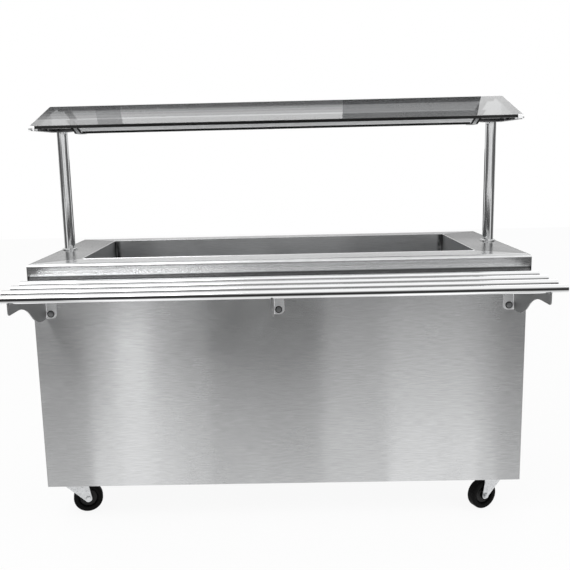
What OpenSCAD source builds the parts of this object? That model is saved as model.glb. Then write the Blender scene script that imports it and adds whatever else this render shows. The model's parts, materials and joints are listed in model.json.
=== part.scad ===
// Steam table unit: a stainless counter on casters with one open water well, a tubular
// tray slide along the customer side and a slanted glass guard that carries a lamp.
// Millimetres. The origin is on the floor under the middle of the counter top, +Z is up,
// the customer side faces -Y and the operator side faces +Y.

/* [Counter] */
// Length of the counter top
top_l = 1600; // [1400:10:2000]
// Depth of the counter top, customer side to operator side
top_w = 700; // [660:5:800]
// Height of the counter top above the floor
top_h = 914; // [880:1:960]
// Height of the turned-down edge
apron_h = 55; // [46:1:62]
// Radius of the rolled edge
nose_r = 11; // [8:1:18]
// Sheet of the counter top
top_t = 1.5; // [1:0.1:2]
// Flange turned back under the front and rear edges
lip_w = 14; // [8:1:18]

/* [Water well] */
// Counter left in front of the well
rim_front = 110; // [100:1:130]
// Counter left behind the well
rim_rear = 90; // [86:1:120]
// Counter left at each end of the well
rim_end = 152; // [140:1:200]
// Depth of the well below the counter top
well_depth = 200; // [180:1:215]
// Sheet of the well
well_t = 1.2; // [0.8:0.1:2]
// Inside radius of the well's corners in plan
well_corner_r = 6; // [6:1:40]
// Inside radius between the well's walls and floor
well_cove_r = 5; // [3:0.5:6]
// Flange that seats the well under the counter
well_flange_w = 18; // [10:1:24]
// Insulation round the well
insulation_t = 25; // [15:1:28]
// Tube of a heating element
element_d = 10; // [8:0.5:12]
// Distance between the two legs of one element
element_span = 100; // [80:1:120]
// Offset of each element from the middle of the well
element_offset = 120; // [100:1:130]
// Height of the elements above the well's floor
element_lift = 28; // [27:1:36]
// Distance from the far end of the well to the elements' bend
element_end_gap = 90; // [60:1:160]
// Length of the terminal box beside the well, along the counter
heater_box_l = 80; // [60:1:90]

/* [Drain] */
// Distance of the drain from the left end of the well
drain_inset = 110; // [80:1:200]
// Distance of the drain from the rear wall of the well
drain_rear_gap = 130; // [90:1:180]
// Outside diameter of the drain pipe
drain_d = 33.7; // [26:0.1:42]
// Wall of the drain pipe
drain_wall = 3.2; // [2:0.1:4]
// Length of the drain pipe below the well
drain_drop = 70; // [55:1:110]
// Outside diameter of the hose tail under the valve
tail_d = 25.4; // [20:0.1:28]
// Length of the hose tail
tail_l = 40; // [30:1:60]
// Length of the valve lever from its axis
lever_l = 120; // [90:1:150]

/* [Cabinet] */
// Counter overhang beyond each cabinet end
end_reveal = 2; // [2:0.5:10]
// Counter overhang beyond the front panel
front_inset = 31; // [26:1:60]
// Counter overhang beyond the operator side
rear_inset = 20; // [19:1:24]
// Sheet of the panels
panel_t = 1.2; // [0.8:0.1:2]
// How far the front panel wraps round the cabinet's corners
panel_wrap = 18; // [12:1:40]
// Flat of the flange along the top of the panels, past its bend
panel_flange = 10; // [4:1:16]
// Width of the upright beside the doors
stile_w = 40; // [30:1:60]
// Height and width of the base frame's channel
frame_h = 30; // [25:1:40]
// Sheet of the base frame's channel
frame_wall = 2; // [1.5:0.1:3]
// Sheet of the bottom deck
deck_t = 1.5; // [1:0.1:2.5]
// Diameter of the hole in the deck for the drain hose
hose_hole_d = 60; // [50:1:80]
// Height of the collar round the hose hole
collar_h = 6; // [3:0.5:6]
// Gap between the insulation and the door head
head_gap = 6; // [3:1:30]

/* [Sliding doors] */
// Thickness of a door
door_t = 16; // [13:1:17]
// Sheet of a door
door_sheet = 1.2; // [0.8:0.1:1.5]
// Return along the back of a door's edges
door_return = 15; // [8:1:24]
// Overlap of the closed doors in the middle
door_overlap = 30; // [20:1:60]
// How far a closed door reaches behind its upright
door_tuck = 10; // [6:1:20]
// Sheet of the tracks
track_t = 2; // [1.5:0.1:2.5]
// Height of the bottom track's lips
track_lip = 8; // [6:1:12]
// Height of the top track's lips
track_head = 14; // [12:1:20]
// Length of a finger pull
pull_l = 110; // [80:1:160]
// Width of a finger pull
pull_w = 34; // [26:1:44]
// Depth of a finger pull
pull_depth = 9; // [6:0.5:10]

/* [Tray slide] */
// Outside diameter of a rail
rail_d = 25.4; // [20:0.1:32]
// Wall of a rail
rail_wall = 1.5; // [1:0.1:2.5]
// Distance of the first rail's axis from the front panel
rail_first = 78; // [70:1:100]
// Distance between rail axes
rail_pitch = 79; // [60:1:90]
// Rail length beyond each end of the counter
rail_over = 6; // [0:1:40]
// Gap between the counter's edge and the tops of the brackets
bracket_gap = 16.6; // [3:0.2:30]
// Plate of the brackets
bracket_t = 3; // [2:0.5:5]
// Distance of an end bracket's plate from the cabinet's end
bracket_inset = 38; // [20:1:120]
// Depth of a bracket at its nose
bracket_nose_h = 32.5; // [28:0.5:50]
// Depth of a bracket at the panel
bracket_root_h = 112; // [100:0.5:140]
// Straight stretch of the lower edge next to the panel
ogee_start = 33; // [20:1:60]
// Length of the double curve of the lower edge
ogee_l = 220; // [180:1:240]
// Radius of the nose's lower corner
bracket_nose_r = 9; // [4:1:20]
// Width of the flange on the panel
flange_w = 36; // [30:1:50]
// Radius of the flange's lower free corner
flange_r = 15; // [8:1:20]
// Diameter of the bracket bolts
bolt_d = 8; // [6:1:10]
// Distance of the lower bolt from the flange's lower end
bolt_low = 15; // [12:1:25]
// Distance of the upper bolt from the flange's upper end
bolt_high = 16; // [12:1:30]

/* [Guard] */
// Outside diameter of the posts
post_d = 38; // [30:0.5:42]
// Wall of the posts
post_wall = 1.5; // [1:0.1:3]
// Distance of a post's axis from the end of the counter
post_inset = 38; // [34:1:46]
// Distance of the posts behind the middle of the counter
post_y = 20; // [-40:1:60]
// Height of the posts above the counter
post_h = 421; // [350:1:500]
// Diameter of a post's foot ring
foot_d = 54; // [50:1:60]
// Height of a post's foot ring
foot_h = 6; // [3:0.5:12]
// Guard length beyond each end of the counter
guard_over = 6; // [0:1:20]
// Horizontal distance from the posts to the guard's front edge
guard_reach = 221; // [200:1:240]
// Depth of the glass along its slope
glass_w = 257; // [250:1:300]
// Thickness of the glass
glass_t = 8; // [5:0.5:10]
// Slope of the glass
glass_tilt = 17.5; // [12:0.5:28]
// Sheet of the guard's arms and rear rail
arm_t = 2; // [1.5:0.1:3]
// Height of an arm at its front
arm_tip = 5; // [4:0.5:12]
// Width of the seats under the glass
seat_w = 28; // [24:1:56]
// Width of an arm's foot over the post
arm_foot_w = 76; // [70:1:90]
// Width of the stop at each front corner of the glass
stop_w = 16; // [10:1:30]
// Height of the rear rail's upright leg
rear_leg_h = 16; // [14:1:40]

/* [Lamp] */
// Distance of the housing's open side from the seats at the ends of the glass
lamp_gap = 72; // [60:1:140]
// Height of the lamp housing
lamp_h = 40; // [34:1:50]
// Depth of the lamp housing
lamp_w = 60; // [46:1:80]
// Sheet of the lamp housing
lamp_sheet = 1; // [0.8:0.1:1.5]
// Drop of the lamp below the guard's arms
lamp_drop = 6; // [0:1:20]
// Lean of the housing's ends and of its straps
lamp_lean = 34; // [10:1:40]
// Width of a strap
strap_w = 26; // [16:1:36]
// Diameter of the lamp tube
tube_d = 26; // [16:1:26]
// Distance of the tube's ends from the ends of the housing's open side
tube_gap = 92; // [40:1:200]
// Length of a lamp holder along the tube
holder_l = 18; // [12:1:24]

/* [Casters] */
// Height of a caster, floor to the base frame
caster_h = 144; // [128:0.5:150]
// Diameter of a wheel
wheel_d = 101.6; // [90:0.1:104]
// Width of a wheel
wheel_w = 32; // [24:1:38]
// Diameter of an axle
axle_d = 9.5; // [8:0.5:12]
// Distance from the swivel axis to the axle
trail = 35; // [28:1:40]
// Distance of the casters from the cabinet's ends
caster_inset = 68; // [60:1:90]
// Distance of the front casters from the front panel
caster_front = 110; // [60:1:130]
// Distance of the rear casters from the operator side
caster_rear = 80; // [60:1:110]
// Length of a top plate, along the counter
plate_l = 95; // [80:1:110]
// Width of a top plate
plate_w = 70; // [66:1:90]
// Thickness of a top plate
plate_t = 4; // [3:0.5:6]
// Diameter of the swivel race
race_d = 60; // [52:1:66]
// Height of the swivel race
race_h = 6; // [4:0.5:8]
// Diameter of the kingpin
kingpin_d = 12; // [8:0.5:16]
// Sheet of the forks
fork_t = 3; // [2:0.5:4]
// Gap between a wheel and a fork leg
fork_gap = 2; // [1.5:0.5:4]
// Resting direction of the front left caster
turn_front_left = 15; // [0:5:355]
// Resting direction of the front right caster
turn_front_right = 205; // [0:5:355]
// Resting direction of the rear casters
turn_rear = 90; // [0:5:355]
// Travel of a brake pedal
brake_throw = 15; // [10:1:18]

/* [Controls] */
// Distance of the knob's axis from the right upright
knob_inset = 190; // [170:1:300]
// Diameter of the knob
knob_d = 48; // [40:1:60]
// Height of the knob
knob_h = 24; // [18:1:30]
// Spacing of the controls along the fascia
control_pitch = 60; // [56:1:62]
// Drop of the controls below the counter top
control_drop = 110; // [100:1:118]
// Side of the thermostat body
thermostat_w = 46; // [40:1:50]
// Depth of the thermostat body behind the fascia
thermostat_t = 30; // [24:1:32]
// Width of a switch's rocker
rocker_w = 18; // [14:1:22]
// Height of a switch's rocker
rocker_h = 24; // [20:1:28]
// Tilt of a rocker each side of level
rocker_tilt = 10; // [6:1:12]
// Diameter of the pilot lamp's lens
pilot_d = 14; // [10:1:20]
// Height of the power gland above the base frame
gland_lift = 150; // [80:1:300]
// Distance of the power gland from the operator side
gland_rear = 110; // [80:1:200]
// Thread diameter of the power gland
gland_d = 20; // [16:1:25]
// Bore of the power gland
gland_bore = 11; // [8:0.5:13]

/* [Fits] */
// Radial clearance of a running fit
run_fit = 0.05; // [0.03:0.01:0.08]
// Gap between pieces that pass each other
pass_gap = 0.3; // [0.2:0.05:0.5]
// Clearance round a piece that is set into a cut-out
set_fit = 0.2; // [0.1:0.05:0.4]
// Clearance of a door in its track, each side
door_fit = 0.5; // [0.3:0.1:0.8]

/* [Hidden] */
$fn = 64;
// How far a cut runs past the face that it opens
cut = 1;

steel = [0.75, 0.76, 0.77];
bright_steel = [0.86, 0.87, 0.88];
zinc = [0.70, 0.71, 0.72];
brass = [0.72, 0.58, 0.28];
wool = [0.80, 0.76, 0.60];
black = [0.06, 0.06, 0.07];
smoke = [0.55, 0.58, 0.60, 0.45];
lever_red = [0.70, 0.10, 0.10];
lens_amber = [0.90, 0.40, 0.10];
lamp_white = [0.93, 0.93, 0.92];
tube_white = [0.97, 0.97, 0.93];

// Counter and well
under_z = top_h - top_t;
well_l = top_l - 2 * rim_end;
well_w = top_w - rim_front - rim_rear;
well_y = (rim_front - rim_rear) / 2;
well_rear_y = well_y + well_w / 2;
well_end_x = well_l / 2 + well_t;
well_floor_z = top_h - well_depth;
well_under_z = well_floor_z - well_t;
insulation_end_x = well_end_x + set_fit + insulation_t;
insulation_rear_y = well_rear_y + well_t + set_fit + insulation_t;
insulation_under_z = well_under_z - set_fit - insulation_t;

// Elements and their terminal box
element_z = well_floor_z + element_lift;
element_nut_d = 2.4 * element_d;
element_nut_t = 6;
terminal_l = 34;
heater_box_w = 2 * element_offset + element_span + 2 * element_nut_d;
heater_box_h = 2 * element_nut_d;
box_sheet = 1;

// Drain and its valve
drain_x = -well_l / 2 + drain_inset;
drain_y = well_rear_y - drain_rear_gap;
drain_flange_w = 11;
drain_flange_d = drain_d + 2 * drain_flange_w;
valve_wall = 10;
valve_d = drain_d + 2 * valve_wall;
socket_wall = 6.5;
valve_hex = drain_d + 2 * socket_wall;
valve_barrel_h = 44;
valve_end_h = 18;
valve_socket = 12;
valve_z = well_under_z - drain_drop + valve_socket - valve_end_h - valve_barrel_h / 2;
valve_boss_d = 24;
valve_boss_out = 12;
valve_boss_y = valve_d / 2 + valve_boss_out;
stem_d = 10;
stem_depth = 22;
lever_t = 5;
lever_w = 22;
lever_hub_d = 26;

// Cabinet
body_end_x = top_l / 2 - end_reveal;
front_y = -top_w / 2 + front_inset;
rear_y = top_w / 2 - rear_inset;
base_z = caster_h;
deck_z = base_z + frame_h;
opening_x = body_end_x - stile_w;
fascia_z = insulation_under_z - head_gap - panel_t;
inner_x = body_end_x - panel_t;
inner_front_y = front_y + panel_t;
inner_rear_y = rear_y - panel_t;
wall_h = under_z - base_z;
bend_r = nose_r - top_t + pass_gap;
flange_in = bend_r + panel_flange;

// Doors and tracks
groove_w = door_t + 2 * door_fit;
track_d = 2 * groove_w + 3 * track_t;
track_y = inner_rear_y - track_d;
door_z = deck_z + deck_t + track_t + pass_gap;
door_head_room = 4;
door_h = fascia_z - track_t - door_head_room - door_z;
door_out_x = opening_x + door_tuck;
door_w = door_out_x + door_overlap / 2;
pull_inset = 60;
pad_edge = 8;
pad_t = 5;

// Tray slide
rail_count = 4;
rail_l = top_l + 2 * rail_over;
weld_gap = 0.2;
bracket_z = top_h - apron_h - bracket_gap;
rail_z = bracket_z + weld_gap + rail_d / 2;
bracket_l = rail_first + (rail_count - 1) * rail_pitch + rail_d / 2;
ogee_drop = bracket_root_h - bracket_nose_h;
ogee_r = (ogee_l * ogee_l + ogee_drop * ogee_drop) / (4 * ogee_drop);
bolt_hole_d = bolt_d + 2 * set_fit;
bolt_heights = [bracket_z - bracket_root_h + bolt_low, bracket_z - bolt_high];
end_plate_x = body_end_x - bracket_inset;
end_flange_x = end_plate_x - flange_w / 2;
washer_t = 1.6;
washer_d = 2.2 * bolt_d;
bolt_hex = 1.6 * bolt_d;
bolt_head_h = 0.7 * bolt_d;
nut_h = 0.8 * bolt_d;
bolt_tip = 1.6;

// Guard and lamp
post_x = top_l / 2 - post_inset;
arm_z = top_h + post_h;
arm_x = top_l / 2 + guard_over;
guard_front_y = post_y - guard_reach;
glass_set = glass_t * sin(glass_tilt) + pass_gap;
guard_rear_y = guard_front_y + glass_set + glass_w * cos(glass_tilt);
seat_x = arm_x - seat_w;
stop_t = arm_t;
strap_t = arm_t;
strap_y = guard_rear_y - arm_t - strap_t;
lamp_z = arm_z - lamp_drop;
lamp_l = 2 * (seat_x - lamp_gap);
tube_l = lamp_l - 2 * tube_gap;
tube_lift = 4;
lamp_tube_z = lamp_z + tube_lift + tube_d / 2;
holder_w = 30;

// Casters
wheel_r = wheel_d / 2;
caster_x = body_end_x - caster_inset;
caster_front_y = front_y + caster_front;
caster_rear_y = rear_y - caster_rear;
plate_z = caster_h - plate_t;
fork_z = plate_z - race_h - pass_gap;
fork_half_w = wheel_w / 2 + fork_gap;
fork_eye_r = 12.5;
fork_reach = 38;
fork_back = 33;
leg_front_h = 28;
leg_back_h = 4;
leg_front_angle = 210;
leg_back_angle = 20;
ear_edge = 5;
ear_h = 16;
plate_corner_r = 8;
kingpin_head_d = 1.8 * kingpin_d;
kingpin_head_h = 5;
axle_hex = 1.6 * axle_d;
axle_hex_h = 0.6 * axle_d;
axle_tip = 2;
tread_t = 18;
tread_r = 6;
web_t = 14;
hub_d = 26;
brake_back = 12;
brake_below = 9;
brake_pivot = [trail + brake_back, fork_z - brake_below];
brake_pin_d = 6;
brake_hub_d = 2 * brake_pin_d;
shoe_r = 4;
shoe_arm_t = 1.6 * shoe_r;
shoe_angle = 60;
shoe_pressed = [trail, wheel_r]
    + (wheel_r + shoe_r + 2 * pass_gap) * [cos(shoe_angle), sin(shoe_angle)];
pedal_l = 68;
pedal_t = 4;
pedal_slope = -13;

// Controls
knob_x = opening_x - knob_inset;
control_z = top_h - control_drop;
spindle_d = 6;
spindle_in = 12;
bush_d = 12;
bush_out = 2;
skirt_t = 5;
grip_base_d = 0.8 * knob_d;
grip_d = 0.7 * knob_d;
pointer_w = 6;
pointer_rise = 1.5;
pointer_tail = 10;
pointer_reach = knob_d / 2 - 1.5;
bezel_edge = 3;
bezel_t = 2;
pilot_in = 22;
lens_tip_d = 0.6 * pilot_d;
lens_h = 5;
switch_wall = 1.5;
switch_depth = 24;
rocker_face = 5;
rocker_dip = 2;
rocker_back = 7;
rocker_back_h = 0.6 * rocker_h;
rocker_pin_d = 3;
rocker_set = 2;
rocker_y = rear_y - rocker_set;
rocker_room = norm([rocker_face, rocker_h / 2]) + pass_gap;
switch_w = rocker_w + 2 * pass_gap + 2 * switch_wall;
switch_h = 2 * rocker_room + 2 * switch_wall;
switch_x = [knob_x + control_pitch, knob_x + 2 * control_pitch];
pilot_x = knob_x - control_pitch;
bulb_d = 9;
bulb_l = 45;
bulb_nut_d = 18;
bulb_nut_t = 4;
capillary_d = 3;
capillary_r = 8;
capillary_run = 12;
bulb_z = control_z - thermostat_w / 2 - capillary_run - capillary_r;
capillary_y = inner_rear_y - thermostat_t / 2;
gland_y = rear_y - gland_rear;
gland_z = base_z + gland_lift;
gland_in = 14;
gland_out = 22;
gland_nut_t = 6;
gland_hex = gland_d + 6;
gland_base_d = gland_d + 4;
gland_tip_d = gland_d - 4;

// Shared shapes

// Rectangle with round corners, centred
module round_rect(w, h, r) {
    square([w - 2 * r, h], center = true);
    square([w, h - 2 * r], center = true);
    for (sx = [-1, 1], sy = [-1, 1])
        translate([sx * (w / 2 - r), sy * (h / 2 - r)])
            circle(r);
}

// Rectangle hanging from the axis line, with its upper outer corner rolled
module rolled_block(w, h, r) {
    translate([0, -h])
        square([w, h - r]);
    translate([0, -h])
        square([w - r, h]);
    intersection() {
        translate([w - r, -r])
            circle(r);
        translate([0, -h])
            square([w, h]);
    }
}

// Rectangle hanging from the axis line, centred, with both upper corners rolled
module rolled_top(w, h, r) {
    for (side = [0, 1])
        mirror([side, 0])
            rolled_block(w / 2, h, r);
}

// The first rectangle with its lower outer corner rolled
module coved_block(w, h, r) {
    translate([0, -h])
        mirror([0, 1])
            rolled_block(w, h, r);
}

// Sweep a section round a rectangle whose corner axes lie r inside it
module sweep_rect(l, w, r) {
    for (side = [0 : 3]) {
        along_x = side % 2 == 1;
        out = (along_x ? w : l) / 2 - r;
        half_run = (along_x ? l : w) / 2 - r;
        rotate([0, 0, 90 * side]) {
            translate([out, 0, 0])
                rotate([90, 0, 0])
                    linear_extrude(2 * half_run, center = true)
                        children();
            translate([out, half_run, 0])
                rotate_extrude(angle = 90)
                    children();
        }
    }
}

// Box given by its two opposite corners
module block(a, b) {
    translate(a)
        cube(b - a);
}

// Extrude a (Y, Z) outline along X, from x0 to x1
module extrude_x(x0, x1) {
    translate([x0, 0, 0])
        rotate([90, 0, 90])
            linear_extrude(x1 - x0)
                children();
}

// Extrude an (X, Z) outline along Y, from y0 to y1
module extrude_y(y0, y1) {
    translate([0, y1, 0])
        rotate([90, 0, 0])
            linear_extrude(y1 - y0)
                children();
}

// Cylinder along X
module rod_x(y, z, d, x0, x1) {
    translate([x0, y, z])
        rotate([0, 90, 0])
            cylinder(d = d, h = x1 - x0);
}

// Cylinder along Y
module rod_y(x, z, d, y0, y1) {
    translate([x, y1, z])
        rotate([90, 0, 0])
            cylinder(d = d, h = y1 - y0);
}

// Hexagonal prism along Z, by its width across flats
module hex(across, h) {
    cylinder(d = across / cos(30), h = h, $fn = 6);
}

// Copy to both ends of the counter
module both_ends() {
    for (side = [0, 1])
        mirror([side, 0, 0])
            children();
}

// Counter and well

// Block under the counter's outer skin or, shrunk by the sheet, under its inner skin: both
// rolled edges meet in a mitre at each corner
module counter_block(shrink) {
    half_l = top_l / 2 - shrink;
    half_w = top_w / 2 - shrink;
    translate([0, 0, top_h - shrink])
        intersection() {
            extrude_x(-half_l, half_l)
                rolled_top(2 * half_w, apron_h, nose_r - shrink);
            extrude_y(-half_w, half_w)
                rolled_top(2 * half_l, apron_h, nose_r - shrink);
        }
}

module counter_top() {
    lip_z = top_h - apron_h;
    color(bright_steel)
        difference() {
            union() {
                difference() {
                    counter_block(0);
                    counter_block(top_t);
                }
                for (side = [0, 1])
                    mirror([0, side, 0])
                        block([-top_l / 2, -top_w / 2, lip_z], [top_l / 2, lip_w - top_w / 2, lip_z + top_t]);
            }
            translate([0, well_y, under_z - top_t])
                linear_extrude(3 * top_t)
                    round_rect(well_l, well_w, well_corner_r);
        }
}

// Flange, wall and cove of the well, from the corner axis outward
module well_section() {
    wall_h = well_depth - top_t;
    difference() {
        union() {
            coved_block(well_corner_r + well_t, wall_h + well_t, well_cove_r + well_t);
            translate([0, -well_t])
                square([well_corner_r + well_t + well_flange_w, well_t]);
        }
        translate([0, well_t])
            coved_block(well_corner_r, wall_h + well_t, well_cove_r);
    }
}

// Place a copy at each leg of each heating element
module each_leg() {
    for (element = [-1, 1], leg = [-1, 1])
        translate([0, well_y + element * element_offset + leg * element_span / 2, element_z])
            children();
}

module water_well() {
    color(steel)
        difference() {
            union() {
                translate([0, well_y, under_z])
                    sweep_rect(well_l, well_w, well_corner_r)
                        well_section();
                translate([0, well_y, well_under_z + well_t / 2])
                    cube([well_l - 2 * well_corner_r, well_w - 2 * well_corner_r, well_t], center = true);
            }
            each_leg()
                rod_x(0, 0, element_d + 2 * set_fit, well_l / 2 - well_t, well_end_x + well_t);
            translate([drain_x, drain_y, well_under_z - well_t])
                cylinder(d = drain_d - 2 * drain_wall, h = 3 * well_t);
            rod_y(knob_x, bulb_z, bulb_d + 2 * set_fit, well_rear_y - well_t, well_rear_y + 2 * well_t);
        }
}

module well_insulation() {
    out_x = well_end_x + set_fit;
    out_y = well_w / 2 + well_t + set_fit;
    color(wool)
        difference() {
            translate([0, well_y, 0])
                block([-insulation_end_x, -out_y - insulation_t, insulation_under_z],
                      [insulation_end_x, out_y + insulation_t, under_z - well_t - set_fit]);
            translate([0, well_y, 0])
                block([-out_x, -out_y, well_under_z - set_fit], [out_x, out_y, top_h]);
            heater_box_space(set_fit);
            translate([drain_x, drain_y, insulation_under_z - insulation_t])
                cylinder(d = drain_flange_d + 4 * set_fit, h = 3 * insulation_t);
            rod_y(knob_x, bulb_z, bulb_nut_d + 4 * set_fit, well_rear_y, insulation_rear_y + insulation_t);
        }
}

// Two hairpin elements with the nuts that clamp them in the well's end wall
module heating_elements() {
    bend_x = -well_l / 2 + element_end_gap + element_span / 2;
    color(zinc) {
        each_leg() {
            rod_x(0, 0, element_d, bend_x, well_end_x + element_nut_t + terminal_l);
            rod_x(0, 0, element_nut_d, well_end_x, well_end_x + element_nut_t);
            rod_x(0, 0, element_nut_d, well_l / 2 - element_nut_t, well_l / 2);
        }
        for (element = [-1, 1])
            translate([bend_x, well_y + element * element_offset, element_z])
                rotate([0, 0, 90])
                    rotate_extrude(angle = 180)
                        translate([element_span / 2, 0])
                            circle(d = element_d);
    }
}

module heater_box_space(grow) {
    translate([well_end_x, well_y, element_z])
        block([0, -heater_box_w / 2 - grow, -heater_box_h / 2 - grow],
              [heater_box_l + grow, heater_box_w / 2 + grow, heater_box_h / 2 + grow]);
}

module heater_box() {
    color(zinc)
        difference() {
            heater_box_space(0);
            translate([-box_sheet, 0, 0])
                heater_box_space(-box_sheet);
        }
}

// Sensing bulb, its gland in the rear wall and the capillary up to the thermostat
module thermostat_bulb() {
    color(zinc) {
        rod_y(knob_x, bulb_z, bulb_d, well_rear_y - bulb_l, well_rear_y + well_t + bulb_nut_t);
        rod_y(knob_x, bulb_z, bulb_nut_d, well_rear_y + well_t, well_rear_y + well_t + bulb_nut_t);
        rod_y(knob_x, bulb_z, bulb_nut_d, well_rear_y - bulb_nut_t, well_rear_y);
        rod_y(knob_x, bulb_z, capillary_d, well_rear_y + well_t, capillary_y - capillary_r);
        translate([knob_x, capillary_y - capillary_r, bulb_z + capillary_r])
            rotate([0, 0, 90])
                rotate([90, 0, 0])
                    rotate([0, 0, -90])
                        rotate_extrude(angle = 90)
                            translate([capillary_r, 0])
                                circle(d = capillary_d);
        translate([knob_x, capillary_y, bulb_z + capillary_r])
            cylinder(d = capillary_d, h = capillary_run);
    }
}

module drain_pipe() {
    color(steel)
        translate([drain_x, drain_y, well_under_z])
            difference() {
                union() {
                    translate([0, 0, -drain_drop])
                        cylinder(d = drain_d, h = drain_drop);
                    translate([0, 0, -drain_wall])
                        cylinder(d = drain_flange_d, h = drain_wall);
                }
                translate([0, 0, -drain_drop - cut])
                    cylinder(d = drain_d - 2 * drain_wall, h = drain_drop + 2 * cut);
            }
}

// Ball valve: socket, barrel with its stem boss, lower end and hose tail
module drain_valve() {
    color(brass)
        translate([drain_x, drain_y, valve_z])
            difference() {
                union() {
                    translate([0, 0, valve_barrel_h / 2])
                        hex(valve_hex, valve_end_h);
                    translate([0, 0, -valve_barrel_h / 2])
                        cylinder(d = valve_d, h = valve_barrel_h);
                    translate([0, 0, -valve_barrel_h / 2 - valve_end_h])
                        hex(valve_hex, valve_end_h);
                    translate([0, 0, -valve_barrel_h / 2 - valve_end_h - tail_l])
                        cylinder(d = tail_d, h = tail_l);
                    rod_y(0, 0, valve_boss_d, 0, valve_boss_y);
                }
                translate([0, 0, -valve_d - tail_l])
                    cylinder(d = tail_d - 2 * drain_wall, h = 2 * valve_d + tail_l);
                translate([0, 0, valve_barrel_h / 2 + valve_end_h - valve_socket])
                    cylinder(d = drain_d + 2 * set_fit, h = valve_socket + cut);
                rod_y(0, 0, stem_d + 2 * run_fit, valve_boss_y - stem_depth, valve_boss_y + cut);
            }
}

// Lever and its stem, drawn shut: across the pipe
module drain_lever() {
    hub_y = valve_boss_y + pass_gap;
    color(lever_red)
        translate([drain_x, drain_y, valve_z]) {
            rod_y(0, 0, stem_d, valve_boss_y - stem_depth + pass_gap, hub_y + lever_t);
            rod_y(0, 0, lever_hub_d, hub_y, hub_y + lever_t);
            block([0, hub_y, -lever_w / 2], [lever_l - lever_w / 2, hub_y + lever_t, lever_w / 2]);
            rod_y(lever_l - lever_w / 2, 0, lever_w, hub_y, hub_y + lever_t);
        }
}

// Controls

module control_fascia() {
    color(steel)
        difference() {
            union() {
                block([-opening_x, inner_rear_y, fascia_z], [opening_x, rear_y, under_z]);
                block([-opening_x, rear_y - flange_in, under_z - panel_t],
                      [opening_x, inner_rear_y, under_z]);
                block([-opening_x, track_y, fascia_z], [opening_x, inner_rear_y, fascia_z + panel_t]);
            }
            rod_y(knob_x, control_z, bush_d + 2 * set_fit, inner_rear_y - cut, rear_y + cut);
            rod_y(pilot_x, control_z, pilot_d + 2 * set_fit, inner_rear_y - cut, rear_y + cut);
            for (x = switch_x)
                block([x - switch_w / 2 - set_fit, inner_rear_y - cut, control_z - switch_h / 2 - set_fit],
                      [x + switch_w / 2 + set_fit, rear_y + cut, control_z + switch_h / 2 + set_fit]);
        }
}

module thermostat() {
    color(zinc)
        difference() {
            union() {
                block([knob_x - thermostat_w / 2, inner_rear_y - thermostat_t, control_z - thermostat_w / 2],
                      [knob_x + thermostat_w / 2, inner_rear_y, control_z + thermostat_w / 2]);
                rod_y(knob_x, control_z, bush_d, inner_rear_y - cut, rear_y + bush_out);
            }
            rod_y(knob_x, control_z, spindle_d + 2 * run_fit, inner_rear_y - spindle_in - pass_gap,
                  rear_y + bush_out + cut);
        }
}

// Knob with a skirt, a tapered grip with a pointer ridge, and the spindle it turns
module thermostat_knob() {
    knob_y = rear_y + bush_out + pass_gap;
    color(black) {
        rod_y(knob_x, control_z, spindle_d, inner_rear_y - spindle_in, knob_y + skirt_t);
        rod_y(knob_x, control_z, knob_d, knob_y, knob_y + skirt_t);
        translate([knob_x, knob_y + skirt_t, control_z])
            rotate([-90, 0, 0])
                cylinder(d1 = grip_base_d, d2 = grip_d, h = knob_h - skirt_t);
        block([knob_x - pointer_w / 2, knob_y + skirt_t, control_z - pointer_tail],
              [knob_x + pointer_w / 2, knob_y + knob_h + pointer_rise, control_z + pointer_reach]);
    }
}

module switch_frames() {
    color(black)
        for (x = switch_x)
            translate([x, 0, control_z])
                difference() {
                    union() {
                        block([-switch_w / 2, rear_y - switch_depth, -switch_h / 2],
                              [switch_w / 2, rear_y, switch_h / 2]);
                        block([-switch_w / 2 - bezel_edge, rear_y, -switch_h / 2 - bezel_edge],
                              [switch_w / 2 + bezel_edge, rear_y + bezel_t, switch_h / 2 + bezel_edge]);
                    }
                    block([-rocker_w / 2 - pass_gap, rear_y - switch_depth + switch_wall, -rocker_room],
                          [rocker_w / 2 + pass_gap, rear_y + bezel_t + cut, rocker_room]);
                    rod_x(rocker_y, 0, rocker_pin_d + 2 * run_fit, -switch_w / 2 - cut, switch_w / 2 + cut);
                }
}

// Rocker with a hollowed face, drawn tilted to off
module rocker(x) {
    pin_l = switch_w / 2 - pass_gap;
    color(black)
        translate([x, rocker_y, control_z])
            rotate([-rocker_tilt, 0, 0]) {
                extrude_x(-rocker_w / 2, rocker_w / 2)
                    polygon([[-rocker_back, -rocker_back_h / 2], [rocker_face, -rocker_h / 2],
                             [rocker_face - rocker_dip, 0],
                             [rocker_face, rocker_h / 2], [-rocker_back, rocker_back_h / 2]]);
                rod_x(0, 0, rocker_pin_d, -pin_l, pin_l);
            }
}

module pilot_lamp() {
    color(lens_amber) {
        rod_y(pilot_x, control_z, pilot_d, inner_rear_y - pilot_in, rear_y + bezel_t);
        rod_y(pilot_x, control_z, pilot_d + 2 * bezel_edge, rear_y, rear_y + bezel_t);
        translate([pilot_x, rear_y + bezel_t, control_z])
            rotate([-90, 0, 0])
                cylinder(d1 = pilot_d, d2 = lens_tip_d, h = lens_h);
    }
}

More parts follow.
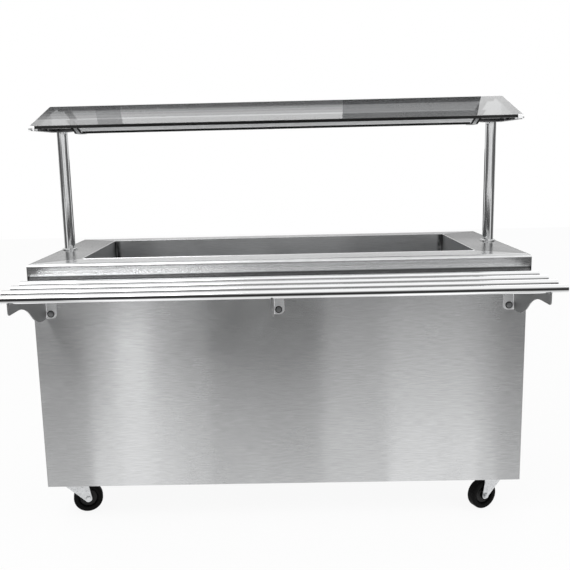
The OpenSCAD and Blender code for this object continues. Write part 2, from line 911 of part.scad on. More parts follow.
// Cable gland in the right end panel
module power_gland() {
    color(black)
        translate([0, gland_y, gland_z])
            difference() {
                union() {
                    rod_x(0, 0, gland_d, body_end_x - gland_in, body_end_x);
                    translate([body_end_x, 0, 0])
                        rotate([0, 90, 0])
                            hex(gland_hex, gland_nut_t);
                    translate([inner_x - gland_nut_t, 0, 0])
                        rotate([0, 90, 0])
                            hex(gland_hex, gland_nut_t);
                    translate([body_end_x + gland_nut_t, 0, 0])
                        rotate([0, 90, 0])
                            cylinder(d1 = gland_base_d, d2 = gland_tip_d, h = gland_out - gland_nut_t);
                }
                rod_x(0, 0, gland_bore, body_end_x - gland_in - cut, body_end_x + gland_out + cut);
            }
}

// Cabinet

// Section of an end wall: an upright sheet, bent over into a flange that nests under the
// counter's rolled edge
module wall_section() {
    translate([body_end_x - flange_in, under_z])
        difference() {
            rolled_block(flange_in, wall_h, bend_r);
            translate([0, -panel_t])
                rolled_block(flange_in - panel_t, wall_h, bend_r - panel_t);
        }
}

// Front view of the cabinet, rounded where it passes under the counter's ends
module front_outline() {
    translate([0, under_z])
        rolled_top(2 * body_end_x, wall_h, bend_r);
}

module front_panel() {
    back_y = front_y + panel_wrap;
    color(steel)
        difference() {
            union() {
                extrude_y(front_y, inner_front_y)
                    front_outline();
                both_ends()
                    extrude_y(front_y, back_y)
                        wall_section();
                block([bend_r - body_end_x, front_y, under_z - panel_t],
                      [body_end_x - bend_r, back_y, under_z]);
            }
            each_bolt()
                rod_y(0, 0, bolt_hole_d, -cut, panel_t + cut);
        }
}

module end_panel() {
    color(steel) {
        extrude_y(front_y + panel_wrap, rear_y)
            wall_section();
        extrude_y(inner_rear_y, rear_y)
            translate([opening_x, under_z])
                rolled_block(stile_w, wall_h, bend_r);
    }
}

module end_panel_left() {
    mirror([1, 0, 0])
        end_panel();
}

module end_panel_right() {
    difference() {
        end_panel();
        rod_x(gland_y, gland_z, gland_d + 2 * set_fit, inner_x - cut, body_end_x + cut);
    }
}

// Channel frame with a pad in each corner for a caster
module base_frame() {
    color(zinc) {
        difference() {
            block([-inner_x, inner_front_y, base_z], [inner_x, inner_rear_y, deck_z]);
            block([-inner_x + frame_h, inner_front_y + frame_h, base_z - cut],
                  [inner_x - frame_h, inner_rear_y - frame_h, deck_z + cut]);
            block([-inner_x + frame_wall, inner_front_y + frame_wall, base_z + frame_wall],
                  [inner_x - frame_wall, inner_rear_y - frame_wall, deck_z - frame_wall]);
        }
        both_ends() {
            block([caster_x - plate_l / 2 - pad_edge, inner_front_y + frame_wall, base_z],
                  [inner_x - frame_wall, caster_front_y + plate_w / 2 + pad_edge, base_z + pad_t]);
            block([caster_x - plate_l / 2 - pad_edge, caster_rear_y - plate_w / 2 - pad_edge, base_z],
                  [inner_x - frame_wall, inner_rear_y - frame_wall, base_z + pad_t]);
        }
    }
}

// Deck with a collared hole under the drain, for its hose
module bottom_deck() {
    color(steel)
        difference() {
            union() {
                block([-inner_x, inner_front_y, deck_z], [inner_x, inner_rear_y, deck_z + deck_t]);
                translate([drain_x, drain_y, deck_z])
                    cylinder(d = hose_hole_d + 2 * deck_t, h = deck_t + collar_h);
            }
            translate([drain_x, drain_y, deck_z - cut])
                cylinder(d = hose_hole_d, h = deck_t + collar_h + 2 * cut);
        }
}

// Double channel along X, open upward, as a (Y, Z) outline with its back on the axis line
module track_outline(lip) {
    translate([track_y, 0])
        square([track_d, track_t]);
    for (i = [0 : 2])
        translate([track_y + i * (groove_w + track_t), 0])
            square([track_t, track_t + lip]);
}

module door_tracks() {
    color(zinc)
        extrude_x(-inner_x, inner_x) {
            translate([0, deck_z + deck_t])
                track_outline(track_lip);
            translate([0, fascia_z])
                mirror([0, 1])
                    track_outline(track_head);
        }
}

// Room of a finger pull from y0 to y1, grown by a wall
module pull_space(side, y0, y1, grow) {
    translate([side * (opening_x - pull_inset), 0, door_z + door_h / 2])
        extrude_y(y0, y1)
            round_rect(pull_w + 2 * grow, pull_l + 2 * grow, pull_w / 2 - set_fit + grow);
}

// Pan-shaped door in one of the two grooves, open to the inside, with a pressed finger pull
module door(side, groove) {
    mid_x = side * (door_out_x - door_w / 2);
    face_y = inner_rear_y - track_t - door_fit - groove * (groove_w + track_t);
    back_y = face_y - door_t;
    head_z = door_z + door_h;
    color(steel)
        difference() {
            union() {
                difference() {
                    block([mid_x - door_w / 2, back_y, door_z], [mid_x + door_w / 2, face_y, head_z]);
                    block([mid_x - door_w / 2 + door_sheet, back_y + door_sheet, door_z + door_sheet],
                          [mid_x + door_w / 2 - door_sheet, face_y - door_sheet, head_z - door_sheet]);
                    block([mid_x - door_w / 2 + door_return, back_y - cut, door_z + door_return],
                          [mid_x + door_w / 2 - door_return, back_y + door_t / 2, head_z - door_return]);
                }
                pull_space(side, face_y - pull_depth - door_sheet, face_y, door_sheet);
            }
            pull_space(side, face_y - pull_depth, face_y + cut, 0);
        }
}

// Tray slide

module rail(i) {
    y = front_y - rail_first - i * rail_pitch;
    color(bright_steel)
        difference() {
            rod_x(y, rail_z, rail_d, -rail_l / 2, rail_l / 2);
            rod_x(y, rail_z, rail_d - 2 * rail_wall, -rail_l / 2 - cut, rail_l / 2 + cut);
        }
}

// Side view of a bracket: distance in front of the panel and height below the rails.
// A slim arm ends in a round nose, and two equal arcs carry its lower edge down to the root.
module bracket_outline() {
    half_l = ogee_l / 2;
    half_drop = ogee_drop / 2;
    coved_block(bracket_l, bracket_nose_h, bracket_nose_r);
    translate([0, -bracket_root_h])
        square([ogee_start, ogee_drop]);
    intersection() {
        translate([ogee_start, -bracket_root_h])
            square([half_l, ogee_drop]);
        translate([ogee_start, -bracket_root_h + ogee_r])
            circle(ogee_r);
    }
    difference() {
        translate([ogee_start + half_l, -bracket_nose_h - half_drop])
            square([half_l, half_drop]);
        translate([ogee_start + ogee_l, -bracket_nose_h - ogee_r])
            circle(ogee_r);
    }
}

// Flange on the panel, from the plate towards +X, with its lower free corner rounded
module flange_outline() {
    coved_block(flange_w, bracket_root_h, flange_r);
}

module bracket(plate_x, flip) {
    color(steel)
        translate([plate_x, front_y, bracket_z])
            mirror([flip, 0, 0])
                difference() {
                    union() {
                        rotate([90, 0, -90])
                            translate([0, 0, -bracket_t])
                                linear_extrude(bracket_t)
                                    bracket_outline();
                        extrude_y(-bracket_t, 0)
                            flange_outline();
                    }
                    for (z = bolt_heights)
                        rod_y(flange_w / 2, z - bracket_z, bolt_hole_d, -bracket_t - cut, cut);
                }
}

// Place a copy at each bracket bolt, on the panel's outer face
module each_bolt() {
    for (x = [-end_flange_x, 0, end_flange_x], z = bolt_heights)
        translate([x, front_y, z])
            children();
}

// Hex bolts with a washer on the flange and a nut behind the panel
module bracket_bolts() {
    color(zinc)
        each_bolt() {
            rod_y(0, 0, bolt_d, -bracket_t - washer_t, panel_t + nut_h + bolt_tip);
            rod_y(0, 0, washer_d, -bracket_t - washer_t, -bracket_t);
            translate([0, -bracket_t - washer_t, 0])
                rotate([90, 0, 0])
                    hex(bolt_hex, bolt_head_h);
            translate([0, panel_t + nut_h, 0])
                rotate([90, 0, 0])
                    hex(bolt_hex, nut_h);
        }
}

// Guard

module post(side) {
    color(bright_steel)
        translate([side * post_x, post_y, top_h])
            difference() {
                cylinder(d = post_d, h = post_h);
                translate([0, 0, -cut])
                    cylinder(d = post_d - 2 * post_wall, h = post_h + 2 * cut);
            }
}

module post_feet() {
    color(bright_steel)
        for (side = [-1, 1])
            translate([side * post_x, post_y, top_h])
                difference() {
                    union() {
                        cylinder(d = foot_d, h = foot_h / 2);
                        translate([0, 0, foot_h / 2])
                            cylinder(d1 = foot_d, d2 = foot_d - foot_h, h = foot_h / 2);
                    }
                    translate([0, 0, -cut])
                        cylinder(d = post_d + 2 * set_fit, h = foot_h + 2 * cut);
                }
}

// Height of the glass seat at a distance y
function seat_z(y) = arm_z + arm_tip + (y - guard_front_y) * tan(glass_tilt);

// Strip under the glass from y0 to the rear edge, as a (Y, Z) outline
module seat_outline(y0) {
    drop = arm_t / cos(glass_tilt);
    polygon([[y0, seat_z(y0) - drop], [guard_rear_y, seat_z(guard_rear_y) - drop],
             [guard_rear_y, seat_z(guard_rear_y)], [y0, seat_z(y0)]]);
}

// Folded wedge on the post: outer web, glass seat, foot and a stop in front of the glass
module guard_arm() {
    foot_front_y = post_y - post_d / 2 - arm_tip;
    color(steel) {
        extrude_x(arm_x - arm_t, arm_x)
            polygon([[guard_front_y, arm_z], [guard_rear_y, arm_z],
                     [guard_rear_y, seat_z(guard_rear_y)], [guard_front_y, seat_z(guard_front_y)]]);
        extrude_x(seat_x, arm_x)
            seat_outline(guard_front_y);
        block([seat_x, guard_front_y, arm_z], [arm_x, guard_rear_y, arm_z + arm_t]);
        block([arm_x - arm_foot_w, foot_front_y, arm_z], [arm_x, guard_rear_y, arm_z + arm_t]);
        block([arm_x - stop_w, guard_front_y - stop_t, arm_z],
              [arm_x, guard_front_y, seat_z(guard_front_y + glass_set) + glass_t * cos(glass_tilt)]);
    }
}

module guard_arm_left() {
    mirror([1, 0, 0])
        guard_arm();
}

// Angle along the rear edge of the glass, between the two arms
module guard_rear_rail() {
    seat_y = guard_rear_y - seat_w * cos(glass_tilt);
    leg_y = guard_rear_y - arm_t;
    rear_z = seat_z(guard_rear_y);
    color(steel)
        extrude_x(-seat_x, seat_x) {
            seat_outline(seat_y);
            polygon([[leg_y, rear_z - rear_leg_h], [guard_rear_y, rear_z - rear_leg_h],
                     [guard_rear_y, rear_z], [leg_y, seat_z(leg_y)]]);
        }
}

module guard_glass() {
    color(smoke)
        translate([0, guard_front_y, arm_z + arm_tip])
            rotate([glass_tilt, 0, 0])
                translate([-arm_x, glass_set / cos(glass_tilt), 0])
                    cube([2 * arm_x, glass_w, glass_t]);
}

// Front view of the lamp housing, shrunk by a wall and open below when hollow
module lamp_outline(wall) {
    lean = tan(lamp_lean);
    half = lamp_l / 2 - wall / cos(lamp_lean);
    low = wall > 0 ? -lamp_sheet : 0;
    high = lamp_h - wall;
    translate([0, lamp_z])
        polygon([[-half - low * lean, low], [half + low * lean, low],
                 [half + high * lean, high], [-half - high * lean, high]]);
}

module lamp_housing() {
    color(lamp_white)
        difference() {
            extrude_y(strap_y - lamp_w, strap_y)
                lamp_outline(0);
            extrude_y(strap_y - lamp_w + lamp_sheet, strap_y - lamp_sheet)
                lamp_outline(lamp_sheet);
        }
}

// Front view of a strap of height h above the lamp's lower edge
module strap_outline(h) {
    shift = h * tan(lamp_lean);
    translate([lamp_l / 2, lamp_z])
        polygon([[-strap_w, -strap_t], [0, -strap_t], [0, 0],
                 [shift, h], [shift - strap_w, h], [-strap_w, 0]]);
}

// Leaning straps from the rear rail down behind the lamp, under it and up its front
module lamp_straps() {
    strap_h = seat_z(strap_y) - arm_t / cos(glass_tilt) - pass_gap - lamp_z;
    face_y = strap_y - lamp_w - strap_t;
    color(steel)
        both_ends() {
            extrude_y(strap_y, strap_y + strap_t)
                strap_outline(strap_h);
            extrude_y(face_y, face_y + strap_t)
                strap_outline(lamp_h);
            block([lamp_l / 2 - strap_w, face_y, lamp_z - strap_t],
                  [lamp_l / 2, strap_y + strap_t, lamp_z]);
        }
}

module lamp_holders() {
    middle_y = strap_y - lamp_w / 2;
    color(black)
        both_ends()
            block([tube_l / 2, middle_y - holder_w / 2, lamp_tube_z - tube_d / 2],
                  [tube_l / 2 + holder_l, middle_y + holder_w / 2, lamp_z + lamp_h - lamp_sheet]);
}

module lamp_tube() {
    color(tube_white)
        rod_x(strap_y - lamp_w / 2, lamp_tube_z, tube_d, -tube_l / 2, tube_l / 2);
}

// Casters: local X is the trailing direction, local Y the axle

module at_caster(side, rear) {
    turn = rear ? turn_rear : side < 0 ? turn_front_left : turn_front_right;
    translate([side * caster_x, rear ? caster_rear_y : caster_front_y, 0])
        rotate([0, 0, turn])
            children();
}

// Top plates with the upper race and the riveted kingpin
module caster_plates() {
    head_z = fork_z - fork_t - pass_gap - kingpin_head_h;
    color(zinc)
        for (side = [-1, 1], y = [caster_front_y, caster_rear_y])
            translate([side * caster_x, y, 0]) {
                translate([0, 0, plate_z])
                    linear_extrude(plate_t)
                        round_rect(plate_l, plate_w, plate_corner_r);
                translate([0, 0, plate_z - race_h])
                    cylinder(d = race_d, h = race_h);
                translate([0, 0, head_z])
                    cylinder(d = kingpin_d, h = plate_z - head_z);
                translate([0, 0, head_z])
                    cylinder(d = kingpin_head_d, h = kingpin_head_h);
            }
}

// Point on the rim of a fork's eye
function eye_point(angle) = [trail, wheel_r] + fork_eye_r * [cos(angle), sin(angle)];

// Side view of a fork leg: a tapering plate down to a round eye, with an ear for the brake
module leg_outline(braked) {
    back = braked ? brake_pivot[0] + brake_pin_d / 2 + ear_edge : fork_back;
    back_h = braked ? ear_h : leg_back_h;
    difference() {
        union() {
            polygon([[-fork_reach, fork_z], [back, fork_z], [back, fork_z - back_h],
                     eye_point(leg_back_angle), eye_point(leg_front_angle),
                     [-fork_reach, fork_z - leg_front_h]]);
            translate([trail, wheel_r])
                circle(fork_eye_r);
        }
        translate([trail, wheel_r])
            circle(d = axle_d + 2 * set_fit);
        if (braked)
            translate(brake_pivot)
                circle(d = brake_pin_d + 2 * run_fit);
    }
}

module fork(side, rear) {
    color(zinc)
        at_caster(side, rear) {
            for (v = [-1, 1])
                translate([0, v * (fork_half_w + fork_t / 2) + fork_t / 2, 0])
                    rotate([90, 0, 0])
                        linear_extrude(fork_t)
                            leg_outline(rear);
            difference() {
                union() {
                    block([-fork_reach, -fork_half_w, fork_z - fork_t],
                          [fork_back, fork_half_w, fork_z]);
                    translate([0, 0, fork_z - fork_t])
                        cylinder(d = race_d, h = fork_t);
                }
                translate([0, 0, fork_z - fork_t - cut])
                    cylinder(d = kingpin_d + 2 * run_fit, h = fork_t + 2 * cut);
            }
        }
}

// Wheel section: radius and half width, with a round-shouldered tread, a thin web and a hub
module wheel_section() {
    tread_in = wheel_r - tread_t;
    difference() {
        union() {
            translate([(wheel_r + tread_in) / 2, 0])
                round_rect(tread_t, wheel_w, tread_r);
            translate([0, -web_t / 2])
                square([tread_in + tread_r, web_t]);
            translate([0, -fork_half_w + pass_gap])
                square([hub_d / 2, 2 * (fork_half_w - pass_gap)]);
        }
        translate([-wheel_d, -wheel_d])
            square([wheel_d + axle_d / 2 + run_fit, 2 * wheel_d]);
    }
}

module wheel(side, rear) {
    color(black)
        at_caster(side, rear)
            translate([trail, 0, wheel_r])
                rotate([90, 0, 0])
                    rotate_extrude()
                        wheel_section();
}

module axle(side, rear) {
    out = fork_half_w + fork_t;
    color(zinc)
        at_caster(side, rear)
            translate([trail, 0, wheel_r]) {
                rod_y(0, 0, axle_d, -out, out + axle_hex_h + axle_tip);
                rotate([-90, 0, 0])
                    translate([0, 0, out])
                        hex(axle_hex, axle_hex_h);
                rotate([90, 0, 0])
                    translate([0, 0, out])
                        hex(axle_hex, axle_hex_h);
            }
}

// Brake pedal, drawn released: a tread plate, the pin it turns on and a shoe over the wheel
module brake(side) {
    arm = shoe_pressed - brake_pivot;
    pedal_w = 2 * (fork_half_w - 2 * fork_gap);
    color(zinc)
        at_caster(side, true) {
            translate([brake_pivot[0], pedal_w / 2, brake_pivot[1]])
                rotate([90, 0, 0])
                    linear_extrude(pedal_w) {
                        circle(d = brake_hub_d);
                        rotate(pedal_slope)
                            translate([0, -pedal_t / 2])
                                square([pedal_l, pedal_t]);
                        rotate(brake_throw + atan2(arm[1], arm[0])) {
                            translate([0, -shoe_arm_t / 2])
                                square([norm(arm), shoe_arm_t]);
                            translate([norm(arm), 0])
                                circle(shoe_r);
                        }
                    }
            rod_y(brake_pivot[0], brake_pivot[1], brake_pin_d, -fork_half_w - fork_t, fork_half_w + fork_t);
        }
}

counter_top();
water_well();
well_insulation();
heating_elements();
heater_box();
thermostat_bulb();
drain_pipe();
drain_valve();
drain_lever();
control_fascia();
thermostat();
thermostat_knob();
switch_frames();
rocker(switch_x[0]);  // heat_rocker
rocker(switch_x[1]);  // light_rocker
pilot_lamp();
power_gland();
front_panel();
end_panel_left();
end_panel_right();
base_frame();
bottom_deck();
door_tracks();
door(-1, 0);  // door_left
door(1, 1);  // door_right
rail(0);  // rail_1
rail(1);  // rail_2
rail(2);  // rail_3
rail(3);  // rail_4
bracket(-end_plate_x, 0);  // bracket_left
bracket(-flange_w / 2, 0);  // bracket_centre
bracket(end_plate_x, 1);  // bracket_right
bracket_bolts();
post(-1);  // post_left
post(1);  // post_right
post_feet();
guard_arm_left();
guard_arm();  // guard_arm_right
guard_rear_rail();
guard_glass();
lamp_housing();
lamp_straps();
lamp_holders();
lamp_tube();
caster_plates();
fork(-1, false);  // fork_front_left
fork(1, false);  // fork_front_right
fork(-1, true);  // fork_rear_left
fork(1, true);  // fork_rear_right
wheel(-1, false);  // wheel_front_left
wheel(1, false);  // wheel_front_right
wheel(-1, true);  // wheel_rear_left
wheel(1, true);  // wheel_rear_right
axle(-1, false);  // axle_front_left
axle(1, false);  // axle_front_right
axle(-1, true);  // axle_rear_left
axle(1, true);  // axle_rear_right
brake(-1);  // brake_rear_left
brake(1);  // brake_rear_right
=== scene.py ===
import json
import math

import bmesh
import bpy
from mathutils import Matrix, Vector


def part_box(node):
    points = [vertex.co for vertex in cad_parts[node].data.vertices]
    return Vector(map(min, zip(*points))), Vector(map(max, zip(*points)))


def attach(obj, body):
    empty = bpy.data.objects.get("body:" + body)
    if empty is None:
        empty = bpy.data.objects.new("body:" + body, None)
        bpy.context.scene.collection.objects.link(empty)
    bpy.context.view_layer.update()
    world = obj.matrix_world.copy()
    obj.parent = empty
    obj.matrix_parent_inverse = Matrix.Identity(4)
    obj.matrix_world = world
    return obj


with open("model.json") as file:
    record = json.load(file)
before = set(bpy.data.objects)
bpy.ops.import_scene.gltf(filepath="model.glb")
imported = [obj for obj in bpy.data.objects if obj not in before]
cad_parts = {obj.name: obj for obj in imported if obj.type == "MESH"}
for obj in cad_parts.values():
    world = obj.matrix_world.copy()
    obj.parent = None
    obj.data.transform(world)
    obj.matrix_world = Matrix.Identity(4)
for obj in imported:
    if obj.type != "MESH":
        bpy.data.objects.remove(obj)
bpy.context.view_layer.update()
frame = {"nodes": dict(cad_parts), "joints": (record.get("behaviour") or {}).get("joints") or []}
nodes = frame["nodes"]
joints = {joint["name"]: joint for joint in frame["joints"]}
scene = bpy.context.scene
scene.view_settings.view_transform = "Standard"

CORNERS = ("front_left", "front_right", "rear_left", "rear_right")
BRACKETS = ("bracket_left", "bracket_centre", "bracket_right")
RAILS = ("rail_1", "rail_2", "rail_3", "rail_4")
MM = 0.001


# Camera, fitted to the photograph

IMAGE_PX = 570
FOCAL_PX = 742.4
CENTRE_PX = (270.87, 285.75)
SENSOR_MM = 36.0
CAMERA_AT = Vector((0.0158, -2.6758, 1.2437))
CAMERA_PITCH = 0.1764
CAMERA_YAW = -0.0168
CAMERA_ROLL = 0.0235
CLIP_NEAR = 0.05
CLIP_FAR = 60


def place_camera():
    """Stands the camera where the photograph was taken from."""
    cp, sp = math.cos(CAMERA_PITCH), math.sin(CAMERA_PITCH)
    cy, sy = math.cos(CAMERA_YAW), math.sin(CAMERA_YAW)
    cr, sr = math.cos(CAMERA_ROLL), math.sin(CAMERA_ROLL)
    ahead = Vector((cp * sy, cp * cy, -sp))
    level_up = Vector((sp * sy, sp * cy, cp))
    level_right = Vector((cy, -sy, 0))
    right = cr * level_right - sr * level_up
    up = sr * level_right + cr * level_up
    data = bpy.data.cameras.new("camera")
    data.sensor_width = SENSOR_MM
    data.lens = FOCAL_PX / IMAGE_PX * SENSOR_MM
    data.shift_x = 0.5 - CENTRE_PX[0] / IMAGE_PX
    data.shift_y = CENTRE_PX[1] / IMAGE_PX - 0.5
    data.clip_start = CLIP_NEAR
    data.clip_end = CLIP_FAR
    camera = bpy.data.objects.new("camera", data)
    scene.collection.objects.link(camera)
    turn = Matrix((right, up, -ahead)).transposed()
    camera.matrix_world = Matrix.Translation(CAMERA_AT) @ turn.to_4x4()
    scene.camera = camera


place_camera()


# Node helpers

# Range that most of a noise lies in
NOISE_LOW = 0.3
NOISE_HIGH = 0.7


def new_material(name):
    """An empty node material and its output node."""
    material = bpy.data.materials.new(name)
    material.use_nodes = True
    tree = material.node_tree
    tree.nodes.clear()
    out = tree.nodes.new("ShaderNodeOutputMaterial")
    return material, tree, out


def object_place(tree):
    """Socket of the Object coordinates."""
    return tree.nodes.new("ShaderNodeTexCoord").outputs["Object"]


def object_axes(tree):
    """X, Y and Z sockets of the Object coordinates."""
    parts = tree.nodes.new("ShaderNodeSeparateXYZ")
    tree.links.new(object_place(tree), parts.inputs[0])
    return parts.outputs


def add_noise(tree, vector, stretch, scale, detail, rough):
    """Noise stretched by a mapping; returns its factor socket."""
    mapping = tree.nodes.new("ShaderNodeMapping")
    mapping.inputs["Scale"].default_value = stretch
    noise = tree.nodes.new("ShaderNodeTexNoise")
    noise.inputs["Scale"].default_value = scale
    noise.inputs["Detail"].default_value = detail
    noise.inputs["Roughness"].default_value = rough
    tree.links.new(vector, mapping.inputs["Vector"])
    tree.links.new(mapping.outputs[0], noise.inputs["Vector"])
    return noise.outputs["Fac"]


def add_range(tree, value, low, high, to_low, to_high):
    """Maps a value from one range to another; returns the result socket."""
    level = tree.nodes.new("ShaderNodeMapRange")
    level.inputs["From Min"].default_value = low
    level.inputs["From Max"].default_value = high
    level.inputs["To Min"].default_value = to_low
    level.inputs["To Max"].default_value = to_high
    tree.links.new(value, level.inputs["Value"])
    return level.outputs[0]


def noise_range(tree, noise, to_low, to_high):
    """Maps a noise to a range; returns the result socket."""
    return add_range(tree, noise, NOISE_LOW, NOISE_HIGH, to_low, to_high)


def add_math(tree, operation, a, b):
    """Math of two sockets or numbers; returns the result socket."""
    node = tree.nodes.new("ShaderNodeMath")
    node.operation = operation
    for socket, value in zip(node.inputs, (a, b)):
        if isinstance(value, (int, float)):
            socket.default_value = value
        else:
            tree.links.new(value, socket)
    return node.outputs[0]


def add_distance(tree, value, middle):
    """How far a value is from a middle; returns the result socket."""
    return add_math(tree, "ABSOLUTE", add_math(tree, "SUBTRACT", value, middle), 0)


def tint(tree, colour, shade, shader):
    """Colours a shader, made lighter and darker by a shade that changes over the surface."""
    mix = tree.nodes.new("ShaderNodeMix")
    mix.data_type = "RGBA"
    mix.blend_type = "MULTIPLY"
    mix.inputs["Factor"].default_value = 1.0
    mix.inputs["A"].default_value = (*colour, 1)
    tree.links.new(shade, mix.inputs["B"])
    tree.links.new(mix.outputs["Result"], shader.inputs["Base Color"])


def relief(tree, height, strength, distance, shader):
    """Bumps a shader's surface by a height."""
    bump = tree.nodes.new("ShaderNodeBump")
    bump.inputs["Strength"].default_value = strength
    bump.inputs["Distance"].default_value = distance
    tree.links.new(height, bump.inputs["Height"])
    tree.links.new(bump.outputs[0], shader.inputs["Normal"])


# Studio

WORLD_LIGHT = 0.8
FLOOR_LIFT = 0.9
FLOOR_SHADE = 0.93
FLOOR_HALF = 9
WHITE = (1, 1, 1, 1)


def seen_rays(tree):
    """1 for the rays that show the background itself, straight or in metal and glass."""
    rays = tree.nodes.new("ShaderNodeLightPath").outputs
    seen = add_math(tree, "MAXIMUM", rays["Is Camera Ray"], rays["Is Glossy Ray"])
    return add_math(tree, "MAXIMUM", seen, rays["Is Transmission Ray"])


def studio_world():
    """White surroundings, at a plain level for the light that they throw on the object."""
    world = bpy.data.worlds.new("studio")
    world.use_nodes = True
    scene.world = world
    tree = world.node_tree
    tree.nodes.clear()
    out = tree.nodes.new("ShaderNodeOutputWorld")
    background = tree.nodes.new("ShaderNodeBackground")
    background.inputs["Color"].default_value = WHITE
    strength = add_range(tree, seen_rays(tree), 0, 1, WORLD_LIGHT, 1.0)
    tree.links.new(strength, background.inputs["Strength"])
    tree.links.new(background.outputs[0], out.inputs["Surface"])


def studio_floor():
    """Plain pale floor that takes the object's shadow."""
    mesh = bpy.data.meshes.new("floor")
    bm = bmesh.new()
    bmesh.ops.create_grid(bm, x_segments=1, y_segments=1, size=FLOOR_HALF)
    bm.to_mesh(mesh)
    bm.free()
    floor = bpy.data.objects.new("floor", mesh)
    scene.collection.objects.link(floor)
    material, tree, out = new_material("floor white")
    matte = tree.nodes.new("ShaderNodeBsdfDiffuse")
    matte.inputs["Color"].default_value = (FLOOR_SHADE, FLOOR_SHADE, FLOOR_SHADE, 1)
    white = tree.nodes.new("ShaderNodeEmission")
    white.inputs["Color"].default_value = WHITE
    lift = add_math(tree, "MULTIPLY", seen_rays(tree), FLOOR_LIFT)
    mix = tree.nodes.new("ShaderNodeMixShader")
    tree.links.new(lift, mix.inputs["Fac"])
    tree.links.new(matte.outputs[0], mix.inputs[1])
    tree.links.new(white.outputs[0], mix.inputs[2])
    tree.links.new(mix.outputs[0], out.inputs["Surface"])
    mesh.materials.append(material)


def softbox(name, place, aim, size, power):
    """Large soft lamp."""
    data = bpy.data.lights.new(name, "AREA")
    data.shape = "RECTANGLE"
    data.size, data.size_y = size
    data.energy = power
    lamp = bpy.data.objects.new(name, data)
    scene.collection.objects.link(lamp)
    lamp.location = place
    lamp.rotation_euler = (Vector(aim) - Vector(place)).to_track_quat("-Z", "Y").to_euler()


def grey_card(name, corners, shade):
    """Grey card that only reflections see, as a photographer hangs round polished metal."""
    mesh = bpy.data.meshes.new(name)
    bm = bmesh.new()
    bm.faces.new([bm.verts.new(corner) for corner in corners])
    bm.to_mesh(mesh)
    bm.free()
    card = bpy.data.objects.new(name, mesh)
    scene.collection.objects.link(card)
    card.visible_camera = False
    card.visible_diffuse = False
    card.visible_shadow = False
    card.visible_transmission = False
    material, tree, out = new_material(name)
    glow = tree.nodes.new("ShaderNodeEmission")
    glow.inputs["Color"].default_value = (shade, shade, shade, 1)
    tree.links.new(glow.outputs[0], out.inputs["Surface"])
    mesh.materials.append(material)


def wall_card(name, y, x0, x1, z0, z1, shade):
    """Card standing across the room."""
    grey_card(name, ((x0, y, z0), (x1, y, z0), (x1, y, z1), (x0, y, z1)), shade)


def side_card(name, x, y0, y1, z0, z1, shade):
    """Card standing beside the object."""
    grey_card(name, ((x, y0, z0), (x, y1, z0), (x, y1, z1), (x, y0, z1)), shade)


BACK_Y = 3.4
FRONT_Y = -2.4
SIDE_X = 3.2
BACK_SPLIT_Z = 1.235
BACK_TOP_Z = 4.7
LAMP_AIM = (0, 0, 0.7)

# Fields of light that the guard's glass mirrors from the wall behind: right edge and shade, from the left
PANE_LEFT = -3.0
PANE_FIELDS = ((-1.6, 0.8), (-1.38, 0.45), (0.57, 1.0), (1.76, 0.16))
# Steps in each field: upper edge and share of the shade, from the lowest
PANE_FOOT = 2.7
PANE_STEPS = ((3.495, 0.15), (3.525, 0.35), (3.55, 0.6), (3.58, 0.85), (BACK_TOP_Z, 1.6))

# Bands of light and shade before the front panel: left edge as seen on the panel, shade of the wall and of
# the floor
BANDS = ((-0.95, 0.2, 0.55), (-0.64, 0.5, 0.85), (-0.54, 1.3, 0.9), (-0.42, 0.45, 0.85), (-0.33, 0.2, 0.8),
         (-0.24, 0.02, 0.7), (0.14, 0.4, 0.8), (0.36, 0.5, 1.0), (0.66, 0.4, 0.8), (0.72, 0.1, 0.6))
BANDS_END = 0.95
BAND_TOP_Z = 0.9
# Far and near half of the floor: its two depths and its share of the shade
BAND_FLOORS = (("far", FRONT_Y, -1.4, 0.7), ("near", -1.4, -0.45, 1.15))
CARD_LIFT = 0.003


def pane_fields():
    """Hangs the fields of light that show in the guard's glass, lighter upwards."""
    left = PANE_LEFT
    for i, (right, shade) in enumerate(PANE_FIELDS):
        low = PANE_FOOT
        for j, (high, share) in enumerate(PANE_STEPS):
            wall_card(f"field {i} step {j}", BACK_Y, left, right, low, high, shade * share)
            low = high
        left = right


def band_x(panel_x, y):
    """X, at depth y, of a band's edge that shows at panel_x on the panel."""
    panel_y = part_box("front_panel")[0].y
    spread = (panel_y - y) / (panel_y - CAMERA_AT.y)
    return panel_x + (panel_x - CAMERA_AT.x) * spread


def shade_bands():
    """Stands the bands of the wall and lays those of the floor."""
    edges = [band[0] for band in BANDS] + [BANDS_END]
    for i, (left, wall_shade, floor_shade) in enumerate(BANDS):
        right = edges[i + 1]
        wall_card(f"band wall {i}", FRONT_Y, band_x(left, FRONT_Y), band_x(right, FRONT_Y), 0, BAND_TOP_Z,
                  wall_shade)
        for part, far, near, share in BAND_FLOORS:
            outline = ((left, far), (right, far), (right, near), (left, near))
            corners = [(band_x(x, y), y, CARD_LIFT) for x, y in outline]
            grey_card(f"band floor {part} {i}", corners, floor_shade * share)


